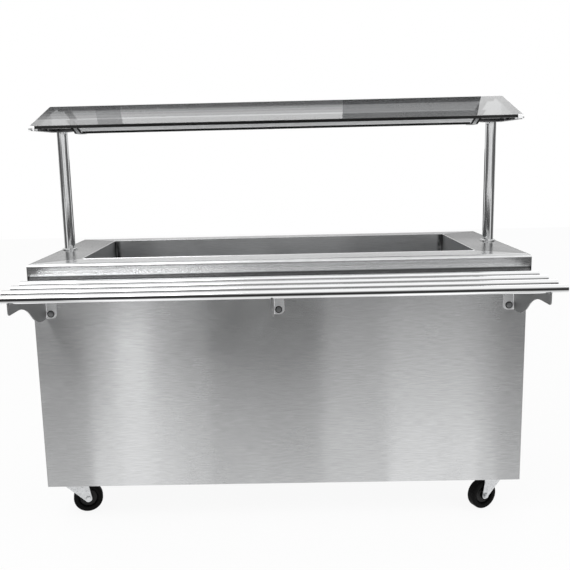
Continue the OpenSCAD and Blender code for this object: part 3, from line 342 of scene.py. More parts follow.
studio_world()
studio_floor()
softbox("key light", (-1.6, -2.4, 3.4), LAMP_AIM, (2.4, 1.6), 40)
softbox("fill light", (2.6, -1.8, 2.4), LAMP_AIM, (1.6, 1.6), 15)
wall_card("card behind low", BACK_Y, -3.5, 3.5, -0.1, BACK_SPLIT_Z, 0.1)
wall_card("card behind high", BACK_Y, -3.5, 3.5, BACK_SPLIT_Z, 2.45, 0.8)
wall_card("card behind top right", BACK_Y, PANE_FIELDS[-1][0], 2.8, PANE_FOOT, BACK_TOP_Z, 1.7)
pane_fields()
side_card("card left", -SIDE_X, -2.1, 1.3, -0.2, 2.2, 0.14)
side_card("card right", SIDE_X, -2.1, 1.3, -0.2, 2.2, 0.14)
wall_card("card before rails", -0.9, -1.05, 1.05, 0.69, 0.95, 0.09)
wall_card("card before posts", FRONT_Y, -0.1, 0.05, 0.95, 1.38, 0.2)
wall_card("card left of posts", FRONT_Y, -4.6, -1.3, 0.95, 1.38, 0.25)
wall_card("card right of posts", FRONT_Y, 2.0, 4.6, 0.95, 1.38, 0.25)
shade_bands()


# Surface effects shared by the finishes

# Stretch, scale, detail and roughness of each noise
HAIR_NOISE = ((9, 900, 900), 1, 3, 0.7)
GRAIN_NOISE = ((25, 320, 320), 1, 2, 0.6)
SMUDGE_NOISE = ((1, 1, 1), 5, 4, 0.55)
SPECK_NOISE = ((1, 1, 1), 160, 3, 0.7)
STREAK_AND_SHEEN_NOISE = ((0.5, 0, 115), 1, 1, 0.5)
CORNER_MOTTLE_NOISE = ((1, 1, 0.5), 60, 3, 0.6)
CRYSTAL_SCALE = 170


def new_group(name, inputs, outputs):
    """A shader node group with its sockets, and its input and output nodes."""
    group = bpy.data.node_groups.new(name, "ShaderNodeTree")
    for label, kind in inputs:
        group.interface.new_socket(label, in_out="INPUT", socket_type=kind)
    for label, kind in outputs:
        group.interface.new_socket(label, in_out="OUTPUT", socket_type=kind)
    return group, group.nodes.new("NodeGroupInput"), group.nodes.new("NodeGroupOutput")


def brushing_group():
    """Grain of brushed sheet along X: hair scratches, coarser grain and handling smudges."""
    group, start, end = new_group(
        "brushing", [("Vector", "NodeSocketVector")],
        [("Hair", "NodeSocketFloat"), ("Grain", "NodeSocketFloat"), ("Smudge", "NodeSocketFloat")])
    vector = start.outputs["Vector"]
    group.links.new(add_noise(group, vector, *HAIR_NOISE), end.inputs["Hair"])
    group.links.new(add_noise(group, vector, *GRAIN_NOISE), end.inputs["Grain"])
    group.links.new(add_noise(group, vector, *SMUDGE_NOISE), end.inputs["Smudge"])
    return group


def spangle_group():
    """Crystal pattern of galvanised steel: flat grains of different shade, with small dark specks."""
    group, start, end = new_group(
        "spangle", [("Vector", "NodeSocketVector")],
        [("Shade", "NodeSocketFloat"), ("Speck", "NodeSocketFloat")])
    vector = start.outputs["Vector"]
    grains = group.nodes.new("ShaderNodeTexVoronoi")
    grains.inputs["Scale"].default_value = CRYSTAL_SCALE
    group.links.new(vector, grains.inputs["Vector"])
    parts = group.nodes.new("ShaderNodeSeparateColor")
    group.links.new(grains.outputs["Color"], parts.inputs[0])
    group.links.new(parts.outputs[0], end.inputs["Shade"])
    group.links.new(add_noise(group, vector, *SPECK_NOISE), end.inputs["Speck"])
    return group


BRUSHING = brushing_group()
SPANGLE = spangle_group()


def add_brushing(tree, turn):
    """Places the brushing group on Object coordinates, turned by a rotation in radians."""
    turned_place = tree.nodes.new("ShaderNodeMapping")
    turned_place.inputs["Rotation"].default_value = turn
    tree.links.new(object_place(tree), turned_place.inputs["Vector"])
    brushing = tree.nodes.new("ShaderNodeGroup")
    brushing.node_tree = BRUSHING
    tree.links.new(turned_place.outputs[0], brushing.inputs["Vector"])
    return brushing.outputs


# Finishes

ALONG = (0, 0, 0)
ACROSS = (0, 0, math.pi / 2)
UPRIGHT = (0, math.pi / 2, 0)
QUARTER_TURN = 0.25
HAIR_DEPTH = 0.0004
SPECK_DEPTH = 0.0005
PAINTED_SHADE_FADE = 0.002

# Counter left beside the well
RIM_END = 0.152
RIM_FRONT = 0.11
RIM_REAR = 0.09
MITRE_FADE = 0.01

# Painted shade along the counter's lower edge, for the shadow and dark reflections over the rails, as heights
# over that edge, and its shades
SHADE_LINE_LOW = 0.012
SHADE_LINE_MID = 0.014
SHADE_LINE_HIGH = 0.018
SHADE_LINE_DARK = 0.12
SHADE_LINE_FOOT = 0.5

# Darkening up the well's corners: how far it reaches, its core and its shade
CORNER_DARK_REACH = 0.022
CORNER_DARK_CORE = 0.012
CORNER_DARK_SHADE = 0.15


def metal_shader(tree, out, anisotropy=0.0):
    """Metal whose grain runs along X."""
    shader = tree.nodes.new("ShaderNodeBsdfPrincipled")
    shader.inputs["Metallic"].default_value = 1.0
    shader.inputs["Anisotropic"].default_value = anisotropy
    shader.inputs["Anisotropic Rotation"].default_value = QUARTER_TURN
    tree.links.new(shader.outputs[0], out.inputs["Surface"])
    return shader


def rough_by_wear(tree, brushing, roughness, smudge, shader):
    """Roughness that follows the scratches and the smudges."""
    worn = add_range(tree, brushing["Smudge"], 0.35, 0.7, -smudge, smudge)
    scratch = noise_range(tree, brushing["Hair"], roughness - smudge / 2, roughness + smudge / 2)
    tree.links.new(add_math(tree, "ADD", worn, scratch), shader.inputs["Roughness"])


def steel_finish(name, colour, roughness, anisotropy=0.0, turn=ALONG, grain=0.08, smudge=0.05, bump=0.04,
                 painted_shade=None):
    """Stainless steel with its grain along X, turned by a rotation in radians.

    The last argument, (axis, middle, reach, shade), paints shade: within that reach of the middle, on that
    axis, the steel keeps only this share of its colour.
    """
    material, tree, out = new_material(name)
    shader = metal_shader(tree, out, anisotropy)
    brushing = add_brushing(tree, turn)
    shade = noise_range(tree, brushing["Grain"], 1 - grain, 1 + grain)
    # painted shade: the colour is darkened within a reach of a place on one axis
    if painted_shade:
        axis, middle, reach, least = painted_shade
        away = add_distance(tree, object_axes(tree)[axis], middle)
        kept = add_range(tree, away, reach, reach + PAINTED_SHADE_FADE, least, 1)
        shade = add_math(tree, "MULTIPLY", shade, kept)
    tint(tree, colour, shade, shader)
    rough_by_wear(tree, brushing, roughness, smudge, shader)
    relief(tree, brushing["Hair"], bump, HAIR_DEPTH, shader)
    return material


def counter_finish(name, colour, roughness, anisotropy, end_shade):
    """Counter steel, striped along its front by brushing and by painted reflections, with a painted shade
    line along its lower edge.

    The grain runs along each rim, and the end rims are painted darker up to the mitred corners, a painted
    shade for how their cross grain reflects.
    """
    material, tree, out = new_material(name)
    shader = metal_shader(tree, out, anisotropy)
    low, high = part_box("counter_top")
    axes = object_axes(tree)
    from_end = add_range(tree, add_distance(tree, axes["X"], 0), high.x - RIM_END, high.x, 1, 0)
    from_front = add_math(tree, "DIVIDE", add_math(tree, "SUBTRACT", axes["Y"], low.y), RIM_FRONT)
    from_rear = add_math(tree, "DIVIDE", add_math(tree, "SUBTRACT", high.y, axes["Y"]), RIM_REAR)
    nearest = add_math(tree, "MINIMUM", from_front, from_rear)
    past_mitre = add_math(tree, "SUBTRACT", nearest, from_end)
    end_rim = add_range(tree, past_mitre, -MITRE_FADE, MITRE_FADE, 0, 1)
    along = add_brushing(tree, ALONG)
    across = add_brushing(tree, ACROSS)
    grain = tree.nodes.new("ShaderNodeMix")
    tree.links.new(end_rim, grain.inputs["Factor"])
    tree.links.new(along["Grain"], grain.inputs["A"])
    tree.links.new(across["Grain"], grain.inputs["B"])
    shade = noise_range(tree, grain.outputs["Result"], 0.9, 1.1)
    # painted shade: the end rims keep only end_shade of the colour
    shade = add_math(tree, "MULTIPLY", shade, add_range(tree, end_rim, 0, 1, 1, end_shade))
    # partly brushing and partly painted reflection: long light and dark stripes along the front
    streak_and_sheen = add_noise(tree, object_place(tree), *STREAK_AND_SHEEN_NOISE)
    shade = add_math(tree, "MULTIPLY", shade, noise_range(tree, streak_and_sheen, 0.72, 1.22))
    # painted shade: a dark line along the apron's lower edge, lighter at its very foot
    under_painted_shade_line = add_range(tree, axes["Z"], low.z, low.z + SHADE_LINE_LOW, SHADE_LINE_FOOT, SHADE_LINE_DARK)
    over_painted_shade_line = add_range(tree, axes["Z"], low.z + SHADE_LINE_MID, low.z + SHADE_LINE_HIGH, SHADE_LINE_DARK, 1)
    painted_shade_line = add_math(tree, "MAXIMUM", under_painted_shade_line, over_painted_shade_line)
    tint(tree, colour, add_math(tree, "MULTIPLY", shade, painted_shade_line), shader)
    rough_by_wear(tree, along, roughness, 0.03, shader)
    relief(tree, grain.outputs["Result"], 0.03, HAIR_DEPTH, shader)
    return material


def well_finish(name, colour, roughness):
    """Well steel, darker up its four corners, with a mottle."""
    material, tree, out = new_material(name)
    shader = metal_shader(tree, out)
    low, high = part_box("counter_top")
    half_length = high.x - RIM_END
    middle_y = (low.y + RIM_FRONT + high.y - RIM_REAR) / 2
    half_width = high.y - RIM_REAR - middle_y
    axes = object_axes(tree)
    near = []
    for axis, middle, half in (("X", 0, half_length), ("Y", middle_y, half_width)):
        away = add_distance(tree, axes[axis], middle)
        near.append(add_range(tree, away, half - CORNER_DARK_REACH, half - CORNER_DARK_CORE, 0, 1))
    # darkens the colour up the four corners, mottled by a noise
    corner = add_math(tree, "MULTIPLY", *near)
    corner_mottle = add_noise(tree, object_place(tree), *CORNER_MOTTLE_NOISE)
    corner_dark = add_math(tree, "MULTIPLY", corner, add_range(tree, corner_mottle, 0.35, 0.55, 0.5, 1))
    brushing = add_brushing(tree, ALONG)
    shade = add_math(tree, "MULTIPLY", noise_range(tree, brushing["Grain"], 0.92, 1.08),
                     add_range(tree, corner_dark, 0, 1, 1, CORNER_DARK_SHADE))
    tint(tree, colour, shade, shader)
    rough_by_wear(tree, brushing, roughness, 0.05, shader)
    relief(tree, brushing["Hair"], 0.04, HAIR_DEPTH, shader)
    return material


def galvanised_finish(name, colour, roughness):
    """Galvanised pressings."""
    material, tree, out = new_material(name)
    shader = metal_shader(tree, out)
    spangle = tree.nodes.new("ShaderNodeGroup")
    spangle.node_tree = SPANGLE
    tree.links.new(object_place(tree), spangle.inputs["Vector"])
    crystal, speck = spangle.outputs["Shade"], spangle.outputs["Speck"]
    shade = add_math(tree, "MULTIPLY", add_range(tree, crystal, 0, 1, 0.86, 1.1),
                     add_range(tree, speck, 0.34, 0.46, 0.7, 1))
    tint(tree, colour, shade, shader)
    rough = add_range(tree, crystal, 0, 1, roughness - 0.08, roughness + 0.08)
    tree.links.new(rough, shader.inputs["Roughness"])
    relief(tree, speck, 0.1, SPECK_DEPTH, shader)
    return material


def plain_finish(name, colour, roughness, metallic=0.0, mottle=0.08, scale=120, bump=0.1, gloss=0.5):
    """Moulded, cast or plated finish with a fine mottle."""
    material, tree, out = new_material(name)
    shader = tree.nodes.new("ShaderNodeBsdfPrincipled")
    shader.inputs["Metallic"].default_value = metallic
    shader.inputs["Specular IOR Level"].default_value = gloss
    tree.links.new(shader.outputs[0], out.inputs["Surface"])
    speck = add_noise(tree, object_place(tree), (1, 1, 1), scale, 3, 0.6)
    tint(tree, colour, noise_range(tree, speck, 1 - mottle, 1 + mottle), shader)
    rough = noise_range(tree, speck, roughness - 0.05, roughness + 0.05)
    tree.links.new(rough, shader.inputs["Roughness"])
    relief(tree, speck, bump, SPECK_DEPTH, shader)
    return material


def glass_finish(name, colour):
    """Clear tinted glass."""
    material, tree, out = new_material(name)
    shader = tree.nodes.new("ShaderNodeBsdfPrincipled")
    shader.inputs["Base Color"].default_value = (*colour, 1)
    shader.inputs["Transmission Weight"].default_value = 1.0
    shader.inputs["IOR"].default_value = 1.5
    shader.inputs["Roughness"].default_value = 0.0
    tree.links.new(shader.outputs[0], out.inputs["Surface"])
    return material


def cool(level):
    """Grey with a slight cool cast."""
    return level, level + 0.005, level + 0.01


# Painted shade: the brackets' plates are painted darker than their flanges, though both are one steel; the
# flanges lie within 6 mm of the panel
flange_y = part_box("front_panel")[0].y
bracket_painted_shade = ("Y", flange_y - 0.5, 0.494, 0.4)
# Painted shade: the rails are painted darker along a narrow line near mid height, where the gaps between them
# fall dark
tube_low, tube_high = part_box("rail_1")
tube_painted_shade = ("Z", (tube_low.z + tube_high.z) / 2 + 0.001, 0.0035, 0.35)

panel_steel = steel_finish("brushed panel steel", cool(0.65), 0.25, 1.0, grain=0.07, smudge=0.03)
counter_steel = counter_finish("satin counter steel", cool(0.76), 0.2, 0.6, 0.38)
well_steel = well_finish("well steel", cool(0.52), 0.34)
bracket_steel = steel_finish("bracket steel", cool(0.96), 0.5, painted_shade=bracket_painted_shade)
guard_steel = steel_finish("guard steel", cool(0.7), 0.1, grain=0.04, smudge=0.02)
lamp_steel = steel_finish("lamp housing steel", cool(0.93), 0.35, grain=0.03)
strap_steel = steel_finish("strap steel", cool(0.55), 0.2, turn=UPRIGHT)
tube_steel = steel_finish("polished tube steel", cool(0.92), 0.06, grain=0.03, smudge=0.01, bump=0.01,
                          painted_shade=tube_painted_shade)
post_steel = steel_finish("polished post steel", cool(0.66), 0.1, turn=UPRIGHT, smudge=0.03)
# near black steel, a painted shade for the strips under the guard's arms
shade_strip_steel = steel_finish("painted shade steel", (0.08, 0.08, 0.082), 0.3)
bright_steel = steel_finish("bright steel", cool(0.92), 0.12, grain=0.03)
zinc = plain_finish("zinc plate", (0.66, 0.67, 0.68), 0.3, 1.0, scale=60, bump=0.03)
dark_zinc = plain_finish("dark zinc plate", cool(0.4), 0.35, 1.0, scale=60, bump=0.03)
galvanised = galvanised_finish("galvanised steel", (0.68, 0.69, 0.7), 0.34)
rubber = plain_finish("black rubber", (0.002, 0.002, 0.002), 0.7, gloss=0.12)
plastic = plain_finish("black plastic", (0.02, 0.02, 0.021), 0.42)
hub_black = plain_finish("black hub cover", (0.004, 0.004, 0.004), 0.4, gloss=0.25)
# black, a painted shade for the glass edge, the lamp's lower lip and the strap borders
painted_shade_black = plain_finish("black painted shade", (0.004, 0.004, 0.004), 0.3, gloss=0.3, bump=0.03)
brass = plain_finish("brass", (0.65, 0.48, 0.2), 0.3, 1.0)
red = plain_finish("red dip", (0.45, 0.02, 0.02), 0.35)
amber = plain_finish("amber lens", (0.85, 0.28, 0.03), 0.15)
wool = plain_finish("mineral wool", (0.5, 0.44, 0.26), 0.95, mottle=0.25, scale=300, bump=0.6)
smoked = glass_finish("smoked glass", cool(0.3))
tube_white = plain_finish("lamp tube white", (0.9, 0.9, 0.87), 0.25)

FINISHES = {
    panel_steel: ("front_panel", "end_panel_left", "end_panel_right", "control_fascia", "door_left",
                  "door_right", "bottom_deck"),
    counter_steel: ("counter_top",),
    well_steel: ("water_well", "drain_pipe"),
    bracket_steel: BRACKETS,
    dark_zinc: ("bracket_bolts",),
    guard_steel: ("guard_arm_left", "guard_arm_right", "guard_rear_rail"),
    lamp_steel: ("lamp_housing",),
    strap_steel: ("lamp_straps",),
    tube_steel: RAILS,
    post_steel: ("post_left", "post_right", "post_feet"),
    zinc: ("heating_elements", "heater_box", "thermostat_bulb", "thermostat", "base_frame", "door_tracks",
           *("axle_" + corner for corner in CORNERS)),
    galvanised: ("caster_plates", "brake_rear_left", "brake_rear_right",
                 *("fork_" + corner for corner in CORNERS)),
    rubber: tuple("wheel_" + corner for corner in CORNERS),
    plastic: ("thermostat_knob", "switch_frames", "heat_rocker", "light_rocker", "power_gland",
              "lamp_holders"),
    brass: ("drain_valve",),
    red: ("drain_lever",),
    amber: ("pilot_lamp",),
    wool: ("well_insulation",),
    smoked: ("guard_glass",),
    tube_white: ("lamp_tube",),
}
for finish, names in FINISHES.items():
    for name in names:
        nodes[name].data.materials.clear()
        nodes[name].data.materials.append(finish)


# Helpers for the small pieces

SHARP = math.radians(40)
MERGE = 1e-6

TO_REAR = Matrix.Rotation(-math.pi / 2, 4, "X")
TO_FRONT = Matrix.Rotation(math.pi / 2, 4, "X")
TO_FLOOR = Matrix.Rotation(math.pi, 4, "X")
TO_RIGHT = Matrix.Rotation(math.pi / 2, 4, "Y")
TO_LEFT = Matrix.Rotation(-math.pi / 2, 4, "Y")


def at(x, y, z):
    """Moves a shape to a place."""
    return Matrix.Translation((x, y, z))


def add_piece(name, bm, finish, body="cabinet"):
    """Makes a finished bmesh a piece that rides on a body."""
    bmesh.ops.remove_doubles(bm, verts=bm.verts, dist=MERGE)
    bmesh.ops.recalc_face_normals(bm, faces=bm.faces)
    for face in bm.faces:
        face.smooth = True
    for edge in bm.edges:
        edge.smooth = edge.calc_face_angle(0) < SHARP
    mesh = bpy.data.meshes.new(name)
    bm.to_mesh(mesh)
    bm.free()
    mesh.materials.append(finish)
    piece = bpy.data.objects.new(name, mesh)
    scene.collection.objects.link(piece)
    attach(piece, body)


def keep_shape(bm):
    """Turns a bmesh into a shape that can be stamped many times."""
    shape = bpy.data.meshes.new("shape")
    bm.to_mesh(shape)
    bm.free()
    return shape


def stamp(bm, shape, place):
    """Adds a copy of a shape to a piece, moved to its place."""
    copy = shape.copy()
    copy.transform(place)
    bm.from_mesh(copy)
    bpy.data.meshes.remove(copy)


def add_part(bm, part):
    """Adds a part to a piece where it stands."""
    stamp(bm, keep_shape(part), Matrix.Identity(4))


def pull_out(bm, faces, by):
    """Pulls faces out into a solid."""
    grown = bmesh.ops.extrude_face_region(bm, geom=faces)
    moved = [v for v in grown["geom"] if isinstance(v, bmesh.types.BMVert)]
    bmesh.ops.translate(bm, vec=by, verts=moved)


def round_off(bm, geom, offset, segments, affect="EDGES"):
    """Rounds edges or corners."""
    bmesh.ops.bevel(bm, geom=geom, offset=offset, segments=segments, profile=0.5, affect=affect, material=-1)


def turned(profile, steps):
    """Shape turned round Z from (radius, height) points in millimetres."""
    bm = bmesh.new()
    verts = [bm.verts.new((r * MM, 0, h * MM)) for r, h in profile]
    edges = [bm.edges.new(pair) for pair in zip(verts, verts[1:])]
    bmesh.ops.spin(bm, geom=verts + edges, cent=(0, 0, 0), axis=(0, 0, 1), angle=2 * math.pi, steps=steps,
                   use_merge=True)
    bmesh.ops.remove_doubles(bm, verts=bm.verts, dist=MERGE)
    return keep_shape(bm)


def hex_head(across, height):
    """Hexagon head with an eased crown, standing on the XY plane, from sizes in millimetres."""
    bm = bmesh.new()
    radius = across * MM / math.sqrt(3)
    bmesh.ops.create_cone(bm, cap_ends=True, segments=6, radius1=radius, radius2=radius, depth=height * MM)
    bmesh.ops.translate(bm, vec=(0, 0, height * MM / 2), verts=bm.verts)
    crown = [e for e in bm.edges if min(v.co.z for v in e.verts) > height * MM / 2]
    round_off(bm, crown, 0.1 * across * MM, 2)
    return keep_shape(bm)


def prism(corners, by, ease):
    """Solid pulled out of a flat outline, with eased edges."""
    bm = bmesh.new()
    face = bm.faces.new([bm.verts.new(corner) for corner in corners])
    pull_out(bm, [face], by)
    bmesh.ops.recalc_face_normals(bm, faces=bm.faces)
    round_off(bm, list(bm.edges), ease, 2)
    return bm


def bar(points, x0, x1, ease):
    """Bar along X from a closed (Y, Z) outline in metres, with eased edges."""
    return prism([(x0, y, z) for y, z in points], (x1 - x0, 0, 0), ease)


def strip(y0, y1, z0, z1, x0, x1, ease):
    """Flat strip along X."""
    return bar([(y0, z0), (y0, z1), (y1, z1), (y1, z0)], x0, x1, ease)


def rim(width, height, corner, wide, rise):
    """Rounded bead round an opening or plate, lying on the XY plane."""
    bm = bmesh.new()
    bmesh.ops.create_grid(bm, x_segments=1, y_segments=1, size=0.5)
    bmesh.ops.scale(bm, vec=(width + 2 * wide, height + 2 * wide, 1), verts=bm.verts)
    round_off(bm, list(bm.verts), corner + wide, 10, "VERTICES")
    inner = list(bm.faces)
    bmesh.ops.inset_region(bm, faces=inner, thickness=wide, use_even_offset=True, use_boundary=True)
    bmesh.ops.delete(bm, geom=inner, context="FACES_ONLY")
    pull_out(bm, list(bm.faces), (0, 0, rise))
    top = [e for e in bm.edges if all(v.co.z > rise / 2 for v in e.verts) and e.calc_face_angle(0) > 1]
    round_off(bm, top, 0.45 * min(wide, 2 * rise), 3)
    return keep_shape(bm)


# Guard

FINE_EASE = 0.0003
PLATE_EASE = 0.0004
GLASS_TILT = math.radians(17.5)
GLASS_THICK = 0.008
STRAP_LEAN = math.tan(math.radians(34))
GUARD_ARMS = (("guard_arm_left", -1), ("guard_arm_right", 1))


def glass_edge():
    """Black channel along the front edge of the guard's glass, between the corner caps: a painted shade for
    the glass edge's dark look.
    """
    low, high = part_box("guard_glass")
    run, rise = math.cos(GLASS_TILT), math.sin(GLASS_TILT)
    foot_y, foot_z = low.y + GLASS_THICK * rise, low.z
    outline = ((-1.4, -0.8), (3.0, -0.8), (3.0, -0.05), (-0.05, -0.05), (-0.05, 8.05), (3.0, 8.05),
               (3.0, 8.8), (-1.4, 8.8))
    points = [(foot_y + (s * run - n * rise) * MM, foot_z + (s * rise + n * run) * MM) for s, n in outline]
    cap = 0.0165
    bm = bar(points, low.x + cap, high.x - cap, FINE_EASE)
    # painted shade: the channel is black where the glass edge looks dark
    add_piece("guard_glass_edge", bm, painted_shade_black)


def corner_caps():
    """Polished caps over the two front corners of the guard."""
    outline = ((-1.5, -1.2), (-1.5, 11), (1.2, 15.5), (8, 16.5), (8, 15.2), (-0.1, 14), (-0.1, -1.2))
    outside, inside = 0.0012, 0.0185
    bm = bmesh.new()
    for name, side in GUARD_ARMS:
        low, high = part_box(name)
        end = high.x if side > 0 else low.x
        points = [(low.y + s * MM, low.z + h * MM) for s, h in outline]
        left, right = sorted((end + side * outside, end - side * inside))
        add_part(bm, bar(points, left, right, PLATE_EASE))
    add_piece("guard_corner_caps", bm, bright_steel)


def lamp_shade_strips():
    """Black lower lip of the lamp housing, a painted shade for its shaded underside, and black borders on its
    straps, a painted shade for the shadows along their edges.
    """
    low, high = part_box("lamp_housing")
    strap_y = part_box("lamp_straps")[0].y
    half, strap_wide = 0.706, 0.026
    proud, sunk, drop, lip_high = 0.0009, 0.0002, 0.0012, 0.006
    # painted shade: a black strip for the housing's shaded underside
    lip = strip(low.y - proud, low.y + sunk, low.z - drop, low.z + lip_high, -half + strap_wide,
                half - strap_wide, FINE_EASE)
    add_piece("lamp_shade_lip", lip, painted_shade_black)
    # painted shade: black borders for the shadows along the straps' edges
    border, thick, shift = 0.0035, 0.0012, 0.001
    foot, head = low.z - shift, high.z - shift
    borders = bmesh.new()
    for side in (-1, 1):
        for inset in (border, strap_wide - border):
            outline = ((-border, foot), (border, foot), (border, head), (-border, head))
            corners = [(side * (half - inset + d + (z - low.z) * STRAP_LEAN), strap_y, z) for d, z in outline]
            add_part(borders, prism(corners, (0, -thick, 0), FINE_EASE))
    add_piece("strap_shade_borders", borders, painted_shade_black)


def foot_shade_strips():
    """Near black strips in front of the arms' feet, over the posts, a painted shade for the shade under the
    arms.
    """
    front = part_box("post_left")[0].y - 0.005
    proud, sunk, foot, head = 0.001, 0.0008, 0.0005, 0.012
    inner, outer = 0.7115, 0.8035
    bm = bmesh.new()
    for name, side in GUARD_ARMS:
        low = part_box(name)[0]
        left, right = sorted((side * inner, side * outer))
        add_part(bm, strip(front - proud, front + sunk, low.z + foot, low.z + head, left, right, PLATE_EASE))
    # painted shade: near black strips where the arms' undersides fall in shade
    add_piece("foot_shade_strips", bm, shade_strip_steel)


# Tray slide

def plate_x(name, inward):
    """X of a place that lies inward of the outer face of a bracket's plate."""
    low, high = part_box(name)
    return high.x - inward if name == "bracket_right" else low.x + inward


def bracket_bends():
    """Rounded folds where the bracket flanges turn off their plates."""
    fold = turned([(0, -1), (1.6, 0), (2, 1.5), (2, 108), (1.6, 109.5), (0, 110)], 16)
    panel_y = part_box("front_panel")[0].y
    inward, lift = 0.0035, 0.001
    bm = bmesh.new()
    for name in BRACKETS:
        stamp(bm, fold, at(plate_x(name, inward), panel_y - inward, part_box(name)[0].z + lift))
    add_piece("bracket_folds", bm, bright_steel)


def rail_welds():
    """Weld beads where the rails sit on the brackets."""
    ripple = bmesh.new()
    bmesh.ops.create_icosphere(ripple, subdivisions=2, radius=0.5)
    bmesh.ops.scale(ripple, vec=(0.005, 0.006, 0.0045), verts=ripple.verts)
    dab = keep_shape(ripple)
    half_plate, off_plate, pitch, curl = 0.0015, 0.0024, 0.0026, 0.0004
    bm = bmesh.new()
    for name in BRACKETS:
        middle_x, top = plate_x(name, half_plate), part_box(name)[1].z
        for rail in RAILS:
            low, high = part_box(rail)
            y = (low.y + high.y) / 2
            for side in (-1, 1):
                x = middle_x + side * off_plate
                for step in (-2, -1, 0, 1, 2):
                    stamp(bm, dab, at(x, y + step * pitch, top + curl * step * step))
    add_piece("rail_welds", bm, bracket_steel)


def rail_plugs():
    """Domed plugs in the rail ends."""
    plug = turned([(0, 2.2), (5, 2.0), (9, 1.4), (11.6, 0.5), (12.2, 0.05), (10.9, 0.05), (10.9, -8),
                   (10, -9), (0, -9)], 32)
    bm = bmesh.new()
    for rail in RAILS:
        low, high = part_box(rail)
        y, z = (low.y + high.y) / 2, (low.z + high.z) / 2
        stamp(bm, plug, at(high.x, y, z) @ TO_RIGHT)
        stamp(bm, plug, at(low.x, y, z) @ TO_LEFT)
    add_piece("rail_plugs", bm, bright_steel)


def flange_rims():
    """Bright sheared edges of the bracket flanges, and dark sealing rings under their bolts."""
    ring = turned([(8.9, 0), (8.9, 0.9), (9.3, 1.3), (11, 1.3), (11.5, 0.8), (11.5, 0), (8.9, 0)], 32)
    sheet, corner, wide, rise = 0.003, 0.0125, 0.002, 0.0012
    bolt_up = 0.015
    face_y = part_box("front_panel")[0].y - sheet
    edges, rings = bmesh.new(), bmesh.new()
    for name in BRACKETS:
        low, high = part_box(name)
        x = (low.x + high.x) / 2
        edge = rim(high.x - low.x - 2 * wide, high.z - low.z - 2 * wide, corner, wide, rise)
        stamp(edges, edge, at(x, face_y, (low.z + high.z) / 2) @ TO_FRONT)
        stamp(rings, ring, at(x, face_y, low.z + bolt_up) @ TO_FRONT)
    add_piece("flange_edges", edges, bright_steel)
    add_piece("bolt_seals", rings, rubber)


# Casters

def caster_bolts():
    """Low hexagon heads on washers, which hold the caster plates up to the frame."""
    head = hex_head(13, 4.2)
    washer = turned([(0, 0), (8, 0), (8, 0.5), (7.6, 0.8), (0, 0.8)], 20)
    low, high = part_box("caster_plates")
    half_x, half_y, thick = 0.0475, 0.035, 0.004
    bolt_x, bolt_y, head_down = 0.037, 0.025, 0.0007
    under = high.z - thick
    bm = bmesh.new()
    for x in (low.x + half_x, high.x - half_x):
        for y in (low.y + half_y, high.y - half_y):
            for dx in (-bolt_x, bolt_x):
                for dy in (-bolt_y, bolt_y):
                    stamp(bm, head, at(x + dx, y + dy, under - head_down) @ TO_FLOOR)
                    stamp(bm, washer, at(x + dx, y + dy, under) @ TO_FLOOR)
    add_piece("caster_bolts", bm, zinc)


def wheel_covers():
    """Ribbed covers on both faces of each wheel's web."""
    ring = [(13.4, 7.05), (13.4, 10.2), (14.4, 11.2), (16.6, 11.2), (18, 9.8), (24, 9.0), (26, 10),
            (28.6, 10), (30.4, 8.8), (31.6, 7.05)]
    cover = turned(ring + ring[:1], 40)
    for corner in CORNERS:
        joint = joints["roll_" + corner]
        axis = Vector(joint["axis"])
        hub = at(*joint["pos_m"]) @ axis.to_track_quat("Z", "Y").to_matrix().to_4x4()
        bm = bmesh.new()
        stamp(bm, cover, hub)
        stamp(bm, cover, hub @ TO_FLOOR)
        add_piece("wheel_covers_" + corner, bm, hub_black, "wheel_" + corner)


# Cabinet

def dial_tick(wide, long):
    """Raised tick on the ring round the thermostat knob, at the top of the ring."""
    thick, ring, lift = 0.0005, 0.031, 0.0001
    bm = bmesh.new()
    bmesh.ops.create_cube(bm, size=1)
    bmesh.ops.scale(bm, vec=(wide, long, thick), verts=bm.verts)
    top = [e for e in bm.edges if all(v.co.z > 0 for v in e.verts)]
    round_off(bm, top, 0.0001, 1)
    bmesh.ops.translate(bm, vec=(0, ring, lift), verts=bm.verts)
    return keep_shape(bm)


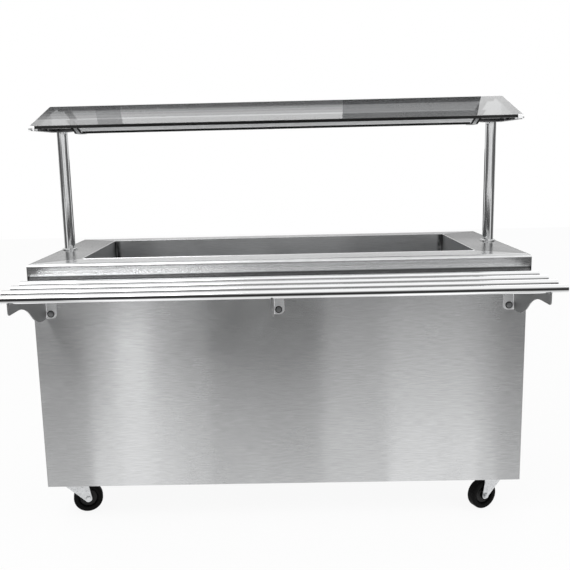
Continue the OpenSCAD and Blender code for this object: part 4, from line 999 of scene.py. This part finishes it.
def dial_marks():
    """Plain ring of ticks round the thermostat knob, every fifth one long."""
    low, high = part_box("thermostat_knob")
    face_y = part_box("control_fascia")[1].y
    x, z = (low.x + high.x) / 2, joints["knob_turn"]["pos_m"][2]
    count, first, step = 11, 135, 27
    short_tick, long_tick = dial_tick(0.001, 0.0045), dial_tick(0.0016, 0.007)
    bm = bmesh.new()
    for i in range(count):
        tick = long_tick if i % 5 == 0 else short_tick
        turn = Matrix.Rotation(math.radians(first - step * i), 4, "Z")
        stamp(bm, tick, at(x, face_y, z) @ TO_REAR @ turn)
    add_piece("dial_marks", bm, plastic)


def fascia_screws():
    """Dome screws along the fascia and the end panels' rear edges."""
    screw = turned([(0, 0.7), (1.5, 0.7), (1.7, 1.9), (2.6, 1.6), (3.6, 0.7), (3.9, 0), (0, 0)], 20)
    low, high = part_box("control_fascia")
    beside, up = 0.02, 0.016
    bm = bmesh.new()
    for x in (low.x + beside, low.x / 2, 0, high.x / 2, high.x - beside):
        stamp(bm, screw, at(x, high.y, low.z + up) @ TO_REAR)
    for x in (low.x - beside, high.x + beside):
        for z in (0.24, 0.46, 0.68):
            stamp(bm, screw, at(x, high.y, z) @ TO_REAR)
    add_piece("rear_screws", bm, zinc)


def pull_rims():
    """Rolled rims round the finger pulls of the doors."""
    pull_x, pull_wide, pull_high, corner = 0.698, 0.0342, 0.1102, 0.0169
    wide, rise = 0.004, 0.001
    for name, x in (("door_left", -pull_x), ("door_right", pull_x)):
        low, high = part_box(name)
        edge = rim(pull_wide, pull_high, corner, wide, rise)
        bm = bmesh.new()
        stamp(bm, edge, at(x, high.y, (low.z + high.z) / 2) @ TO_REAR)
        add_piece("pull_rim_" + name, bm, bright_steel, name)


def well_lip():
    """Bright rolled edge round the well's opening."""
    low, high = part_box("counter_top")
    length = high.x - low.x - 2 * RIM_END
    width = high.y - low.y - RIM_FRONT - RIM_REAR
    corner, wide, rise = 0.006, 0.004, 0.001
    bm = bmesh.new()
    stamp(bm, rim(length, width, corner, wide, rise), at(0, low.y + RIM_FRONT + width / 2, high.z))
    add_piece("well_lip", bm, bright_steel)


glass_edge()
corner_caps()
bracket_bends()
rail_welds()
rail_plugs()
caster_bolts()
wheel_covers()
dial_marks()
fascia_screws()
pull_rims()
flange_rims()
well_lip()
lamp_shade_strips()
foot_shade_strips()
